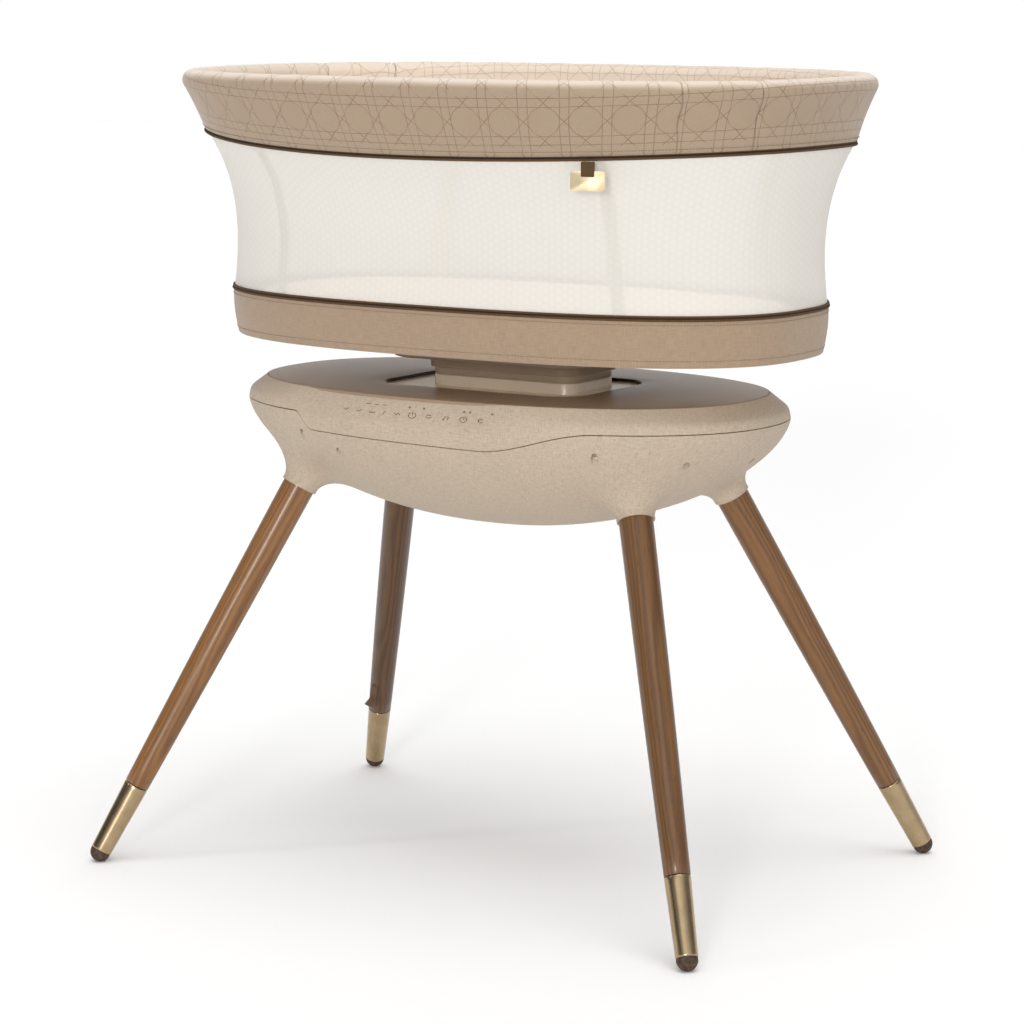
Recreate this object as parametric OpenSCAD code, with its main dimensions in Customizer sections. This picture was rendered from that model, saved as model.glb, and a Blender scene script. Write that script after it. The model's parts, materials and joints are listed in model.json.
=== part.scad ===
// Bassinet on a gliding stand.
// Four turned wooden legs carry an oval pod. Inside the pod a two-axis carriage
// moves the bassinet along X and along Y. The origin is on the floor, midway
// between the four feet; +X runs along the bassinet's length and -Y faces the
// front, where the touch panel is.

/* [Legs] */
// Distance of each foot from the centre along X
foot_x = 400; // [380:1:420]
// Distance of each foot from the centre along Y
foot_y = 281; // [270:1:295]
// Height at which the wood leaves its socket
collar_z = 441; // [436:1:446]
// Distance of each socket mouth from the centre along X
collar_x = 231; // [228:1:234]
// Distance of each socket mouth from the centre along Y
collar_y = 108; // [104:1:112]
// Diameter of the wood at the socket mouth
leg_top_d = 38.5; // [36:0.5:42]
// Diameter of the wood where the metal tip starts
leg_low_d = 29; // [26:0.5:32]
// Diameter of the metal tip at its lower end
tip_d = 24.5; // [24.5:0.5:28]
// Length of the metal tip
ferrule_len = 88; // [70:1:100]

/* [Pod] */
// Half the pod's length at its widest line
pod_x = 341; // [335:1:348]
// Half the pod's width at its widest line
pod_y = 208; // [204:1:214]
// Height of the line where the two shells meet
part_z = 542; // [541:1:543]
// Depth of the lower shell below that line
bowl_depth = 137; // [132:1:140]
// Half the length of the deck on top of the pod
deck_x = 314; // [310:1:318]
// Half the width of the deck
deck_y = 187; // [184:1:190]
// Height of the deck's top face
deck_z = 569; // [568:0.5:570]
// Wall of the moulded shells
shell_wall = 3; // [2.5:0.5:4]

/* [Deck opening and post] */
// Half the length of the opening in the deck
opening_x = 135; // [132:1:140]
// Half the width of the opening
opening_y = 91; // [88:1:95]
// Corner radius of the opening
opening_r = 38; // [34:1:40]
// Half the length of the post that stands in the opening
post_x = 98; // [92:1:100]
// Half the width of the post
post_y = 51; // [47:1:53]

/* [Glide] */
// Where the carriage has stopped along X
rest_x = 10; // [8:1:12]
// Where the carriage has stopped along Y
rest_y = 5; // [3:1:7]

/* [Bassinet] */
// Half the tray's length at the lower piping
tray_x = 370.5; // [366:0.5:374]
// Half the tray's width at the lower piping
tray_y = 201; // [197:0.5:204]
// Height of the tray's lower edge
tray_z = 617; // [615:0.5:620]
// Height of the lower piping
lower_piping_z = 671; // [668:1:674]
// Half the length at the upper piping
collar_band_x = 394; // [391:0.5:398]
// Half the width at the upper piping
collar_band_y = 240; // [236:0.5:243]
// Height of the upper piping
upper_piping_z = 840; // [836:1:844]
// Half the outer length of the padded rim
rim_x = 409.5; // [406:0.5:411]
// Half the outer width of the padded rim
rim_y = 272.5; // [268:0.5:275]
// Height of the rim's top
rim_z = 927; // [922:1:932]

/* [Hidden] */

wood = [0.40, 0.27, 0.19];
satin_brass = [0.70, 0.62, 0.52];
linen = [0.73, 0.67, 0.58];
taupe = [0.60, 0.54, 0.47];
steel = [0.62, 0.63, 0.65];
dark_rubber = [0.17, 0.12, 0.10];
brown_tape = [0.27, 0.20, 0.16];
band_tan = [0.72, 0.60, 0.49];
rim_tan = [0.76, 0.64, 0.53];
mesh_cream = [0.93, 0.90, 0.83];
cream = [0.86, 0.82, 0.76];
circuit_green = [0.10, 0.32, 0.22];
motor_black = [0.14, 0.14, 0.15];
nylon = [0.90, 0.89, 0.85];

round_fn = 64;
ring_steps = 72;
gap = 0.05;

// A flattened oval, |x/a|^n + |y/b|^n = 1, as a list of points
pod_n = 2.26;
deck_n = 2.33;
tray_n = 2.56;
rim_n = 2.63;
function flat_power(v, n) = sign(v) * pow(abs(v), 2 / n);
function oval(a, b, n) = [
    for (k = [0 : ring_steps - 1])
        let (t = 360 * (k + 0.5) / ring_steps)
            [a * flat_power(cos(t), n), b * flat_power(sin(t), n)]
];

// Wall of a closed loop: section is a list of [half length, half width, height, n],
// going once round the wall's cross-section
module loop_wall(section) {
    count = len(section);
    points = [
        for (s = section)
            for (p = oval(s[0], s[1], s[3])) [p[0], p[1], s[2]]
    ];
    faces = [
        for (i = [0 : count - 1])
            for (k = [0 : ring_steps - 1])
                let (
                    i2 = (i + 1) % count,
                    k2 = (k + 1) % ring_steps
                )
                    [i * ring_steps + k, i * ring_steps + k2, i2 * ring_steps + k2, i2 * ring_steps + k]
    ];
    polyhedron(points = points, faces = faces, convexity = 4);
}

module rounded_plate(half_x, half_y, corner, thick) {
    linear_extrude(thick)
        rounded_outline(half_x, half_y, corner);
}

module rounded_outline(half_x, half_y, corner) {
    square([2 * half_x, 2 * (half_y - corner)], center = true);
    square([2 * (half_x - corner), 2 * half_y], center = true);
    for (sx = [-1, 1])
        for (sy = [-1, 1])
            translate([sx * (half_x - corner), sy * (half_y - corner)])
                circle(r = corner, $fn = round_fn);
}

// ---- Legs ----
// Signs of X and Y for each leg
FL = [-1, -1];
FR = [1, -1];
BL = [-1, 1];
BR = [1, 1];
corners = [FL, FR, BL, BR];

foot_r = 12;
foot_flat = 0.6;
ball_z = foot_r - foot_flat;
lean_x = foot_x - collar_x;
lean_y = foot_y - collar_y;
drop = collar_z - ball_z;
lean = sqrt(lean_x * lean_x + lean_y * lean_y);
leg_axis_len = sqrt(lean * lean + drop * drop);
leg_tilt = atan2(lean, drop);
ferrule_end = leg_axis_len - 2;
wood_len = ferrule_end - ferrule_len;
spigot_len = 26;
spigot_r = 15.5;
tenon_len = 30;
tenon_r = 9;
stud_r = 5;
stud_hold = 22;
insert_r = 8;
socket_core_len = 58;

// Puts children in a leg's own frame: origin at the socket mouth, +Z up the leg
module on_leg(side) {
    translate([side[0] * collar_x, side[1] * collar_y, collar_z])
        rotate([0, -leg_tilt, atan2(side[1] * lean_y, side[0] * lean_x)])
            children();
}

module leg(side) {
    color(wood)
        on_leg(side)
            difference() {
                union() {
                    translate([0, 0, -wood_len])
                        cylinder(h = wood_len, d1 = leg_low_d, d2 = leg_top_d, $fn = round_fn);
                    cylinder(h = spigot_len, r = spigot_r, $fn = round_fn);
                    translate([0, 0, -wood_len - tenon_len])
                        cylinder(h = tenon_len + 1, r = tenon_r, $fn = round_fn);
                }
                translate([0, 0, spigot_len - stud_hold])
                    cylinder(h = stud_hold + 1, r = stud_r, $fn = round_fn);
            }
}

module ferrule(side) {
    color(satin_brass)
        on_leg(side)
            translate([0, 0, -ferrule_end])
                difference() {
                    cylinder(h = ferrule_len, d1 = tip_d, d2 = leg_low_d, $fn = round_fn);
                    translate([0, 0, ferrule_len - tenon_len])
                        cylinder(h = tenon_len + 1, r = tenon_r, $fn = round_fn);
                    translate([0, 0, -1])
                        cylinder(h = foot_stem_len + 1, r = foot_stem_r, $fn = round_fn);
                }
}

foot_stem_r = 4;
foot_stem_len = 14;
module foot(side) {
    color(dark_rubber)
        intersection() {
            on_leg(side)
                translate([0, 0, -ferrule_end]) {
                    intersection() {
                        translate([0, 0, ferrule_end - leg_axis_len])
                            sphere(r = foot_r, $fn = round_fn);
                        translate([0, 0, -2 * foot_r])
                            cylinder(h = 2 * foot_r, r = 2 * foot_r, $fn = round_fn);
                    }
                    translate([0, 0, -1])
                        cylinder(h = foot_stem_len + 1, r = foot_stem_r, $fn = round_fn);
                }
            translate([side[0] * foot_x, side[1] * foot_y, 50])
                cube([100, 100, 100], center = true);
        }
}

module leg_studs() {
    color(steel)
        for (side = corners)
            on_leg(side)
                translate([0, 0, spigot_len - stud_hold])
                    cylinder(h = 2 * stud_hold, r = stud_r, $fn = round_fn);
}

module leg_inserts() {
    color(satin_brass)
        for (side = corners)
            on_leg(side)
                translate([0, 0, spigot_len])
                    difference() {
                        cylinder(h = stud_hold, r = insert_r, $fn = round_fn);
                        translate([0, 0, -1])
                            cylinder(h = stud_hold + 2, r = stud_r, $fn = round_fn);
                    }
}

// A hook on the back left leg that parks the lead
clip_drop = 362;
clip_w = 9;
clip_side = [[10, -26], [19, -26], [30, -19], [19, -15], [18, 4], [10, 10]];
module cord_clip() {
    color(wood)
        difference() {
            on_leg(BL)
                rotate([0, 0, 135])
                    translate([0, clip_w / 2, -clip_drop])
                        rotate([90, 0, 0])
                            linear_extrude(clip_w)
                                polygon(clip_side);
            on_leg(BL)
                translate([0, 0, -wood_len])
                    cylinder(h = wood_len, d1 = leg_low_d, d2 = leg_top_d, $fn = round_fn);
        }
}

// ---- Pod shells ----
// Outline scale of the bowl at a few heights, and the height of each
bowl_scales = [1, 0.97, 0.92, 0.84, 0.72, 0.56, 0.36, 0.12];
function bowl_z(s) = part_z - bowl_depth * pow(1 - s * s, 0.625);
ridge_rise = 11;
ridge_in = 2;
shell_top_z = deck_z - 3;
skin = 0.02;

// The closed outer form of the pod, drawn in by inset
module pod_form(inset) {
    hull() {
        for (s = bowl_scales)
            translate([0, 0, bowl_z(s) + inset])
                linear_extrude(skin)
                    polygon(oval(s * pod_x - inset, s * pod_y - inset, pod_n));
        translate([0, 0, part_z + ridge_rise])
            linear_extrude(skin)
                polygon(oval(pod_x - ridge_in - inset, pod_y - ridge_in - inset, pod_n));
        translate([0, 0, shell_top_z - skin])
            linear_extrude(skin)
                polygon(oval(deck_x + 1 - inset, deck_y + 1 - inset, deck_n));
    }
}

// Everything that belongs to the upper shell: above the parting line, with a
// lobe that drops in front for the touch panel
lobe_left = -168;
lobe_right = 150;
lobe_floor_z = 516;
module upper_zone() {
    translate([-400, -300, part_z])
        cube([800, 600, 60]);
    translate([0, -120, 0])
        rotate([90, 0, 0])
            linear_extrude(120)
                polygon([
                    [lobe_left - 14, part_z + 1], [lobe_left, part_z - 12],
                    [lobe_left + 8, lobe_floor_z + 3], [lobe_left + 32, lobe_floor_z],
                    [20, lobe_floor_z], [82, lobe_floor_z + 2], [117, lobe_floor_z + 6],
                    [lobe_right, part_z - 9], [lobe_right + 32, part_z - 2],
                    [lobe_right + 60, part_z + 1]
                ]);
}

// Screws that join the shells from below: [x, y, head height]
shell_screw_spots = [
    [-176, -168, 514], [-122, -172, 499], [209, -155, 514], [283, -94, 509],
    [309, 3, 507], [209, 155, 514], [-209, 155, 514], [-309, -3, 507]
];
screw_r = 2;
screw_head_r = 4.2;
screw_head_h = 3;
screw_boss_r = 7.5;
screw_top_z = part_z + 10;

// Flared mouth that holds a leg
socket_mouth_r = 21.6;
socket_neck_r = 20.9;
module socket_flare(side) {
    on_leg(side)
        rotate_extrude($fn = round_fn)
            polygon([
                [0, 0], [socket_mouth_r, 0], [socket_mouth_r, 3], [socket_neck_r, 10],
                [socket_neck_r + 1, 18], [socket_neck_r + 5, 28], [socket_neck_r + 13, 40],
                [socket_neck_r + 13, 42], [socket_neck_r, 48], [socket_neck_r, socket_core_len],
                [0, socket_core_len]
            ]);
}

module socket_bores(side) {
    on_leg(side) {
        translate([0, 0, -1])
            cylinder(h = spigot_len + 1, r = spigot_r, $fn = round_fn);
        translate([0, 0, spigot_len - 1])
            cylinder(h = stud_hold + 1, r = insert_r, $fn = round_fn);
    }
}

chassis_z = 500;
chassis_t = 4;
chassis_posts = [[-100, -72], [100, -72], [-100, 72], [100, 72]];
chassis_post_r = 7;
chassis_post_z = bowl_z(0.44) + 1.5;
inlet_x = 60;
inlet_z = 500;
inlet_body_r = 7;
inlet_tilt = 22;
inlet_wall_y = 191;

module lower_shell() {
    color(linen)
        difference() {
            union() {
                difference() {
                    pod_form(0);
                    pod_form(shell_wall);
                    upper_zone();
                }
                for (side = corners)
                    socket_flare(side);
                for (p = chassis_posts)
                    translate([p[0], p[1], chassis_post_z])
                        cylinder(h = chassis_z - chassis_post_z, r = chassis_post_r, $fn = round_fn);
                for (p = shell_screw_spots)
                    translate([p[0], p[1], p[2] - 2])
                        cylinder(h = lobe_or_parting(p) - p[2] + 2, r = screw_boss_r, $fn = round_fn);
            }
            for (side = corners)
                socket_bores(side);
            for (p = shell_screw_spots) {
                translate([p[0], p[1], p[2] - 60])
                    cylinder(h = 60 + screw_head_h, r = screw_head_r, $fn = 32);
                translate([p[0], p[1], p[2]])
                    cylinder(h = 60, r = screw_r, $fn = 32);
            }
            for (p = chassis_posts)
                translate([p[0], p[1], chassis_z - 16])
                    cylinder(h = 17, r = screw_r, $fn = 32);
            inlet_body();
        }
}

// Top of a lower-shell boss: the panel lobe drops below the parting line in front
function lobe_or_parting(p) = (p[1] < -120 && p[0] > lobe_left && p[0] < lobe_right)
    ? lobe_floor_z : part_z - 1;

module upper_shell() {
    color(linen)
        difference() {
            union() {
                intersection() {
                    difference() {
                        pod_form(0);
                        pod_form(shell_wall);
                    }
                    upper_zone();
                }
                intersection() {
                    pod_form(shell_wall / 2);
                    for (p = shell_screw_spots)
                        translate([p[0], p[1], lobe_or_parting(p)])
                            boss_with_rib(p, screw_top_z + 3 - lobe_or_parting(p));
                }
            }
            for (p = shell_screw_spots)
                translate([p[0], p[1], p[2]])
                    cylinder(h = screw_top_z - p[2], r = screw_r, $fn = 32);
            translate([0, 0, shell_top_z - 5])
                linear_extrude(10)
                    polygon(oval(deck_x - 9, deck_y - 9, deck_n));
        }
}

// Screw boss with a rib that runs outward to the shell's wall
boss_rib_len = 60;
boss_rib_t = 4;
boss_rib_short = 1;
module boss_with_rib(p, height) {
    cylinder(h = height, r = screw_boss_r, $fn = round_fn);
    rotate([0, 0, atan2(p[1] * pod_x, p[0] * pod_y)])
        translate([0, -boss_rib_t / 2, boss_rib_short])
            cube([boss_rib_len, boss_rib_t, height - 2 * boss_rib_short]);
}

module shell_screws() {
    color(steel)
        for (p = shell_screw_spots)
            translate([p[0], p[1], p[2]]) {
                cylinder(h = screw_head_h, r = screw_head_r, $fn = 32);
                cylinder(h = screw_top_z - p[2], r = screw_r, $fn = 32);
            }
}

module deck() {
    color(taupe)
        difference() {
            translate([0, 0, shell_top_z])
                linear_extrude(deck_z - shell_top_z)
                    polygon(oval(deck_x, deck_y, deck_n));
            translate([0, 0, shell_top_z - 1])
                rounded_plate(opening_x, opening_y, opening_r, 10);
        }
}

// ---- Fixed works inside the pod ----
chassis_x = 190;
chassis_y = 112;
x_pinion_x = -60;
module chassis_plate() {
    color(steel)
        difference() {
            translate([0, 0, chassis_z])
                rounded_plate(chassis_x, chassis_y, 30, chassis_t);
            for (p = chassis_posts)
                translate([p[0], p[1], chassis_z - 1])
                    cylinder(h = 10, r = screw_r + 0.2, $fn = 32);
            translate([x_pinion_x, 0, chassis_z - 1])
                cylinder(h = 10, r = 10, $fn = round_fn);
        }
}

module chassis_screws() {
    color(steel)
        for (p = chassis_posts)
            translate([p[0], p[1], chassis_z - 15]) {
                cylinder(h = 15 + chassis_t, r = screw_r, $fn = 32);
                translate([0, 0, 15 + chassis_t])
                    cylinder(h = 2, r = 3.5, $fn = 32);
            }
}

module inlet_body() {
    translate([inlet_x, inlet_wall_y, inlet_z])
        rotate([-90 + inlet_tilt, 0, 0])
            translate([0, 0, -24])
                cylinder(h = 30, r = inlet_body_r, $fn = round_fn);
}

// Round low-voltage inlet in the back of the pod; the lead plugs in here
module power_inlet() {
    color(motor_black)
        translate([inlet_x, inlet_wall_y, inlet_z])
            rotate([-90 + inlet_tilt, 0, 0])
                difference() {
                    translate([0, 0, -20])
                        cylinder(h = 23, r = inlet_body_r - 0.1, $fn = round_fn);
                    difference() {
                        translate([0, 0, -9])
                            cylinder(h = 20, r = 2.8, $fn = 32);
                        translate([0, 0, -10])
                            cylinder(h = 11, r = 1, $fn = 32);
                    }
                }
}

module main_board() {
    color(circuit_green)
        translate([-40, 15, chassis_z - 10])
            cube([110, 80, 1.6]);
}

module touch_board() {
    color(circuit_green)
        translate([-108, -172, 524])
            rotate([12, 0, 0])
                cube([240, 1.6, 30]);
}

module speaker() {
    color(motor_black)
        translate([130, -20, chassis_z - 22])
            difference() {
                union() {
                    cylinder(h = 22, r = 18, $fn = round_fn);
                    cylinder(h = 3, r = 28, $fn = round_fn);
                }
                translate([0, 0, -1])
                    cylinder(h = 6, r1 = 24, r2 = 14, $fn = round_fn);
            }
}

// ---- X stage ----
rail_y = 74;
x_rail_z = 516;
x_rail_r = 5;
x_rail_half = 160;
module x_rail(y) {
    color(steel)
        translate([-x_rail_half, y, x_rail_z])
            rotate([0, 90, 0])
                cylinder(h = 2 * x_rail_half, r = x_rail_r, $fn = round_fn);
}

block_t = 14;
module x_rail_blocks() {
    color(motor_black)
        for (sx = [-1, 1])
            for (sy = [-1, 1])
                difference() {
                    translate([sx * (x_rail_half - block_t / 2), sy * rail_y, x_rail_z])
                        cube([block_t, 26, 2 * (x_rail_z - chassis_z - chassis_t)], center = true);
                    x_bore(sy * rail_y, x_rail_r);
                }
}

module x_bore(y, r) {
    translate([-300, y, x_rail_z])
        rotate([0, 90, 0])
            cylinder(h = 600, r = r, $fn = round_fn);
}

// Straight-sided rack and a pinion to match; the flanks stay clear of each other
gear_module = 2;
pinion_teeth = 14;
pitch_r = gear_module * pinion_teeth / 2;
tooth_pitch = PI * gear_module;
tooth_up = 0.8 * gear_module;
tooth_down = 1.2 * gear_module;
half_tooth = 0.21 * tooth_pitch;
flank_run = 0.36;
pinion_shaft_r = 3;

module pinion(height) {
    step = 360 / pinion_teeth;
    root_r = pitch_r - tooth_down;
    tip_r = pitch_r + tooth_up;
    root_deg = (half_tooth + tooth_down * flank_run) / pitch_r * 180 / PI;
    mid_deg = half_tooth / pitch_r * 180 / PI;
    tip_deg = (half_tooth - tooth_up * flank_run * 1.5) / pitch_r * 180 / PI;
    linear_extrude(height)
        polygon([
            for (k = [0 : pinion_teeth - 1])
                for (q = [[root_r, -root_deg], [pitch_r, -mid_deg], [tip_r, -tip_deg],
                          [tip_r, tip_deg], [pitch_r, mid_deg], [root_r, root_deg]])
                    [q[0] * cos(k * step + q[1]), q[0] * sin(k * step + q[1])]
        ]);
}

// A rack along X with its pitch line on y = 0 and its back towards +Y
rack_teeth = 17;
rack_back = 6;
module rack(height) {
    half_len = (rack_teeth + 0.5) * tooth_pitch / 2;
    first = -(rack_teeth - 1) / 2;
    linear_extrude(height)
        polygon(concat(
            [[half_len, rack_back], [-half_len, rack_back], [-half_len, tooth_down]],
            [
                for (k = [0 : rack_teeth - 1])
                    let (c = (first + k) * tooth_pitch)
                        for (q = [[-half_tooth - tooth_down * flank_run, tooth_down],
                                  [-half_tooth + tooth_up * flank_run, -tooth_up],
                                  [half_tooth - tooth_up * flank_run, -tooth_up],
                                  [half_tooth + tooth_down * flank_run, tooth_down]])
                            [c + q[0], q[1]]
            ],
            [[half_len, tooth_down]]
        ));
}

x_plate_z = 525;
x_plate_t = 4;
x_gear_z = 508;
gear_h = 12;

module x_motor() {
    color(motor_black)
        translate([x_pinion_x, 0, chassis_z - 52])
            difference() {
                cylinder(h = 52, r = 18.5, $fn = round_fn);
                translate([0, 0, 34])
                    cylinder(h = 20, r = pinion_shaft_r + gap, $fn = round_fn);
            }
}

// Pinion and its shaft turn as one; half a tooth off, so that a gap faces the rack tooth
module x_pinion() {
    color(nylon)
        translate([x_pinion_x, 0, 0]) {
            translate([0, 0, x_gear_z])
                rotate([0, 0, 90 + 180 / pinion_teeth - rest_x / pitch_r * 180 / PI])
                    pinion(gear_h);
            translate([0, 0, chassis_z - 16])
                cylinder(h = x_gear_z + gear_h + 2 - chassis_z + 16, r = pinion_shaft_r, $fn = round_fn);
        }
}

module x_rack() {
    color(nylon)
        translate([rest_x + x_pinion_x, pitch_r, x_gear_z])
            rack(x_plate_z - x_gear_z);
}

bearing_len = 34;
bearing_x = 70;
x_bearing_r = 8.5;
x_web_h = 16;
x_carriage_half = [112, 118];
module x_carriage() {
    color(steel)
        translate([rest_x, 0, 0])
            difference() {
                union() {
                    translate([0, 0, x_plate_z])
                        rounded_plate(x_carriage_half[0], x_carriage_half[1], 10, x_plate_t);
                    for (sx = [-1, 1])
                        for (sy = [-1, 1])
                            translate([sx * bearing_x, sy * rail_y, 0]) {
                                translate([0, 0, (x_rail_z + x_plate_z) / 2])
                                    cube([bearing_len, 20, x_web_h], center = true);
                                translate([0, 0, x_rail_z])
                                    rotate([0, 90, 0])
                                        cylinder(h = bearing_len, r = x_bearing_r,
                                                 center = true, $fn = round_fn);
                            }
                }
                for (sy = [-1, 1])
                    x_bore(sy * rail_y, x_rail_r + gap);
                translate([y_pinion_x, 0, x_plate_z - 1])
                    cylinder(h = 10, r = 8, $fn = round_fn);
            }
}

// ---- Y stage ----
y_rail_x = 96;
y_rail_z = 540;
y_rail_r = 4;
y_rail_half = 116;
y_pinion_x = 30;
y_gear_z = 531;
module y_rail(sx) {
    color(steel)
        translate([rest_x + sx * y_rail_x, y_rail_half, y_rail_z])
            rotate([90, 0, 0])
                cylinder(h = 2 * y_rail_half, r = y_rail_r, $fn = round_fn);
}

y_block_t = 10;
module y_rail_blocks() {
    color(motor_black)
        for (sx = [-1, 1])
            for (sy = [-1, 1])
                translate([rest_x + sx * y_rail_x, sy * (y_rail_half - y_block_t / 2), 0])
                    difference() {
                        translate([0, 0, y_rail_z - 1])
                            cube([20, y_block_t, 2 * (y_rail_z - 1 - x_plate_z - x_plate_t)], center = true);
                        translate([0, 50, y_rail_z])
                            rotate([90, 0, 0])
                                cylinder(h = 100, r = y_rail_r, $fn = round_fn);
                    }
}

// Flat motor that hangs under the X carriage
module y_motor() {
    color(motor_black)
        translate([rest_x + y_pinion_x, 0, x_plate_z - 18])
            difference() {
                cylinder(h = 18, r = 21, $fn = round_fn);
                translate([0, 0, 4])
                    cylinder(h = 20, r = pinion_shaft_r + gap, $fn = round_fn);
            }
}

module y_pinion() {
    color(nylon)
        translate([rest_x + y_pinion_x, 0, 0]) {
            translate([0, 0, y_gear_z])
                rotate([0, 0, 180 / pinion_teeth + rest_y / pitch_r * 180 / PI])
                    pinion(gear_h);
            translate([0, 0, x_plate_z - 13])
                cylinder(h = y_gear_z + gear_h - x_plate_z + 13, r = pinion_shaft_r, $fn = round_fn);
        }
}

y_plate_z = 545;
y_plate_t = 4;
module y_rack() {
    color(nylon)
        translate([rest_x + y_pinion_x + pitch_r, rest_y, y_gear_z])
            rotate([0, 0, -90])
                rack(y_plate_z - y_gear_z);
}

y_bearing_y = 52;
y_bearing_len = 26;
y_bearing_r = 7;
y_carriage_half = [108, 66];
module y_carriage() {
    color(steel)
        translate([rest_x, rest_y, 0])
            difference() {
                union() {
                    translate([0, 0, y_plate_z])
                        rounded_plate(y_carriage_half[0], y_carriage_half[1], 10, y_plate_t);
                    for (sx = [-1, 1])
                        for (sy = [-1, 1])
                            translate([sx * y_rail_x, sy * y_bearing_y, 0]) {
                                translate([0, 0, (y_rail_z + y_plate_z) / 2 + 1])
                                    cube([14, y_bearing_len, y_plate_z - y_rail_z + 2], center = true);
                                translate([0, 0, y_rail_z])
                                    rotate([90, 0, 0])
                                        cylinder(h = y_bearing_len, r = y_bearing_r,
                                                 center = true, $fn = round_fn);
                            }
                }
                for (sx = [-1, 1])
                    translate([sx * y_rail_x, 200, y_rail_z])
                        rotate([90, 0, 0])
                            cylinder(h = 400, r = y_rail_r + gap, $fn = round_fn);
                for (p = dock_bolt_spots)
                    translate([p[0], p[1], y_plate_z - 1])
                        cylinder(h = 10, r = bolt_r, $fn = 32);
            }
}

// ---- Post and dock ----
shutter_t = 2;
shutter_z = shell_top_z - 1.2 - shutter_t;
shutter_x = 166;
shutter_y = 122;
seam_z = 578;
step_z = 586;
flange_z = 600;
post_corner = 20;
post_root = 4;
post_head = 5;
duct_x = 72;
duct_y = 19;
bolt_r = 3;
dock_bolt_spots = [[-70, -30], [70, -30], [-70, 30], [70, 30]];

// Cover that slides under the deck and closes the opening round the post
module shutter_plate() {
    color(cream)
        translate([rest_x, rest_y, shutter_z])
            difference() {
                rounded_plate(shutter_x, shutter_y, 50, shutter_t);
                translate([0, 0, -1])
                    rounded_plate(post_x, post_y, post_corner, 5);
            }
}

module post_lower() {
    color(taupe)
        translate([rest_x, rest_y, 0])
            difference() {
                union() {
                    translate([0, 0, y_plate_z + y_plate_t])
                        rounded_plate(post_x + post_root, post_y + post_root, post_corner,
                                      shutter_z - y_plate_z - y_plate_t);
                    translate([0, 0, shutter_z])
                        rounded_plate(post_x, post_y, post_corner, seam_z - shutter_z);
                }
                translate([0, 0, y_plate_z])
                    rounded_plate(duct_x, duct_y, 8, 60);
                for (p = dock_bolt_spots)
                    translate([p[0], p[1], y_plate_z])
                        cylinder(h = 60, r = bolt_r, $fn = 32);
            }
}

module post_upper() {
    color(taupe)
        translate([rest_x, rest_y, 0])
            difference() {
                union() {
                    translate([0, 0, seam_z])
                        rounded_plate(post_x, post_y, post_corner, step_z - seam_z);
                    translate([0, 0, step_z])
                        rounded_plate(post_x + post_head, post_y + post_head,
                                      post_corner + post_head - 1, flange_z - step_z);
                }
                translate([0, 0, seam_z - 1])
                    rounded_plate(duct_x, duct_y, 8, 60);
                for (p = dock_bolt_spots)
                    translate([p[0], p[1], seam_z - 1])
                        cylinder(h = 60, r = bolt_r, $fn = 32);
            }
}

dock_x = 136;
dock_y = 96;
module dock_plate() {
    color(taupe)
        translate([rest_x, rest_y, flange_z])
            difference() {
                rounded_plate(dock_x, dock_y, 44, tray_z - flange_z);
                for (p = dock_bolt_spots)
                    translate([p[0], p[1], -1])
                        cylinder(h = 30, r = bolt_r, $fn = 32);
            }
}

module dock_bolts() {
    color(steel)
        translate([rest_x, rest_y, 0])
            for (p = dock_bolt_spots)
                translate([p[0], p[1], y_plate_z])
                    cylinder(h = tray_z - y_plate_z, r = bolt_r, $fn = 32);
}

// ---- Bassinet ----
board_t = 8;
cover_t = 5;
tray_draw_in = 4;
module tray_board() {
    color(cream)
        translate([rest_x, rest_y, tray_z])
            linear_extrude(board_t)
                polygon(oval(tray_x - cover_t - tray_draw_in - 1, tray_y - cover_t - tray_draw_in - 1, tray_n));
}

module tray_cover() {
    out_low = tray_draw_in;
    color(band_tan)
        translate([rest_x, rest_y, 0])
            loop_wall([
                [tray_x - out_low - 1.5, tray_y - out_low - 1.5, tray_z, tray_n],
                [tray_x - out_low + 1.5, tray_y - out_low + 1.5, tray_z + 4, tray_n],
                [tray_x + 0.5, tray_y + 0.5, lower_piping_z - 14, tray_n],
                [tray_x, tray_y, lower_piping_z - 2, tray_n],
                [tray_x - cover_t, tray_y - cover_t, lower_piping_z - 2, tray_n],
                [tray_x - out_low - cover_t, tray_y - out_low - cover_t, tray_z, tray_n]
            ]);
}

piping_r = 2.5;
module lower_piping() {
    color(brown_tape)
        translate([rest_x, rest_y, 0])
            piping_loop(tray_x + 0.5, tray_y + 0.5, lower_piping_z + 0.5, tray_n);
}

module piping_loop(a, b, z, n) {
    loop_wall([
        for (k = [0 : 5])
            [a - piping_r + piping_r * cos(60 * k), b - piping_r + piping_r * cos(60 * k),
             z + piping_r * sin(60 * k), n]
    ]);
}

// The mesh is stretched between tray and rim and draws in at its waist
mesh_low_z = lower_piping_z + 3.2;
mesh_top_z = upper_piping_z - 2.2;
mesh_t = 1.6;
waist = 0.8;
function mesh_share(u) = pow(u, 3) - waist * u * (1 - u);
function mesh_level(u, inset) = [
    tray_x - 2 + (collar_band_x - tray_x) * mesh_share(u) - inset,
    tray_y - 2 + (collar_band_y - tray_y) * mesh_share(u) - inset,
    mesh_low_z + (mesh_top_z - mesh_low_z) * u,
    tray_n
];
mesh_steps = 7;
// The mesh is sewn from a front and a back panel. side is -1 for the front one
module mesh_panel(side) {
    color(mesh_cream, 0.5)
        translate([rest_x, rest_y, 0])
            intersection() {
                loop_wall(concat(
                    [for (k = [0 : mesh_steps]) mesh_level(k / mesh_steps, 0)],
                    [for (k = [mesh_steps : -1 : 0]) mesh_level(k / mesh_steps, mesh_t)]
                ));
                translate([-500, side < 0 ? -400 : 0, 500])
                    cube([1000, 400, 500]);
            }
}

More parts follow.
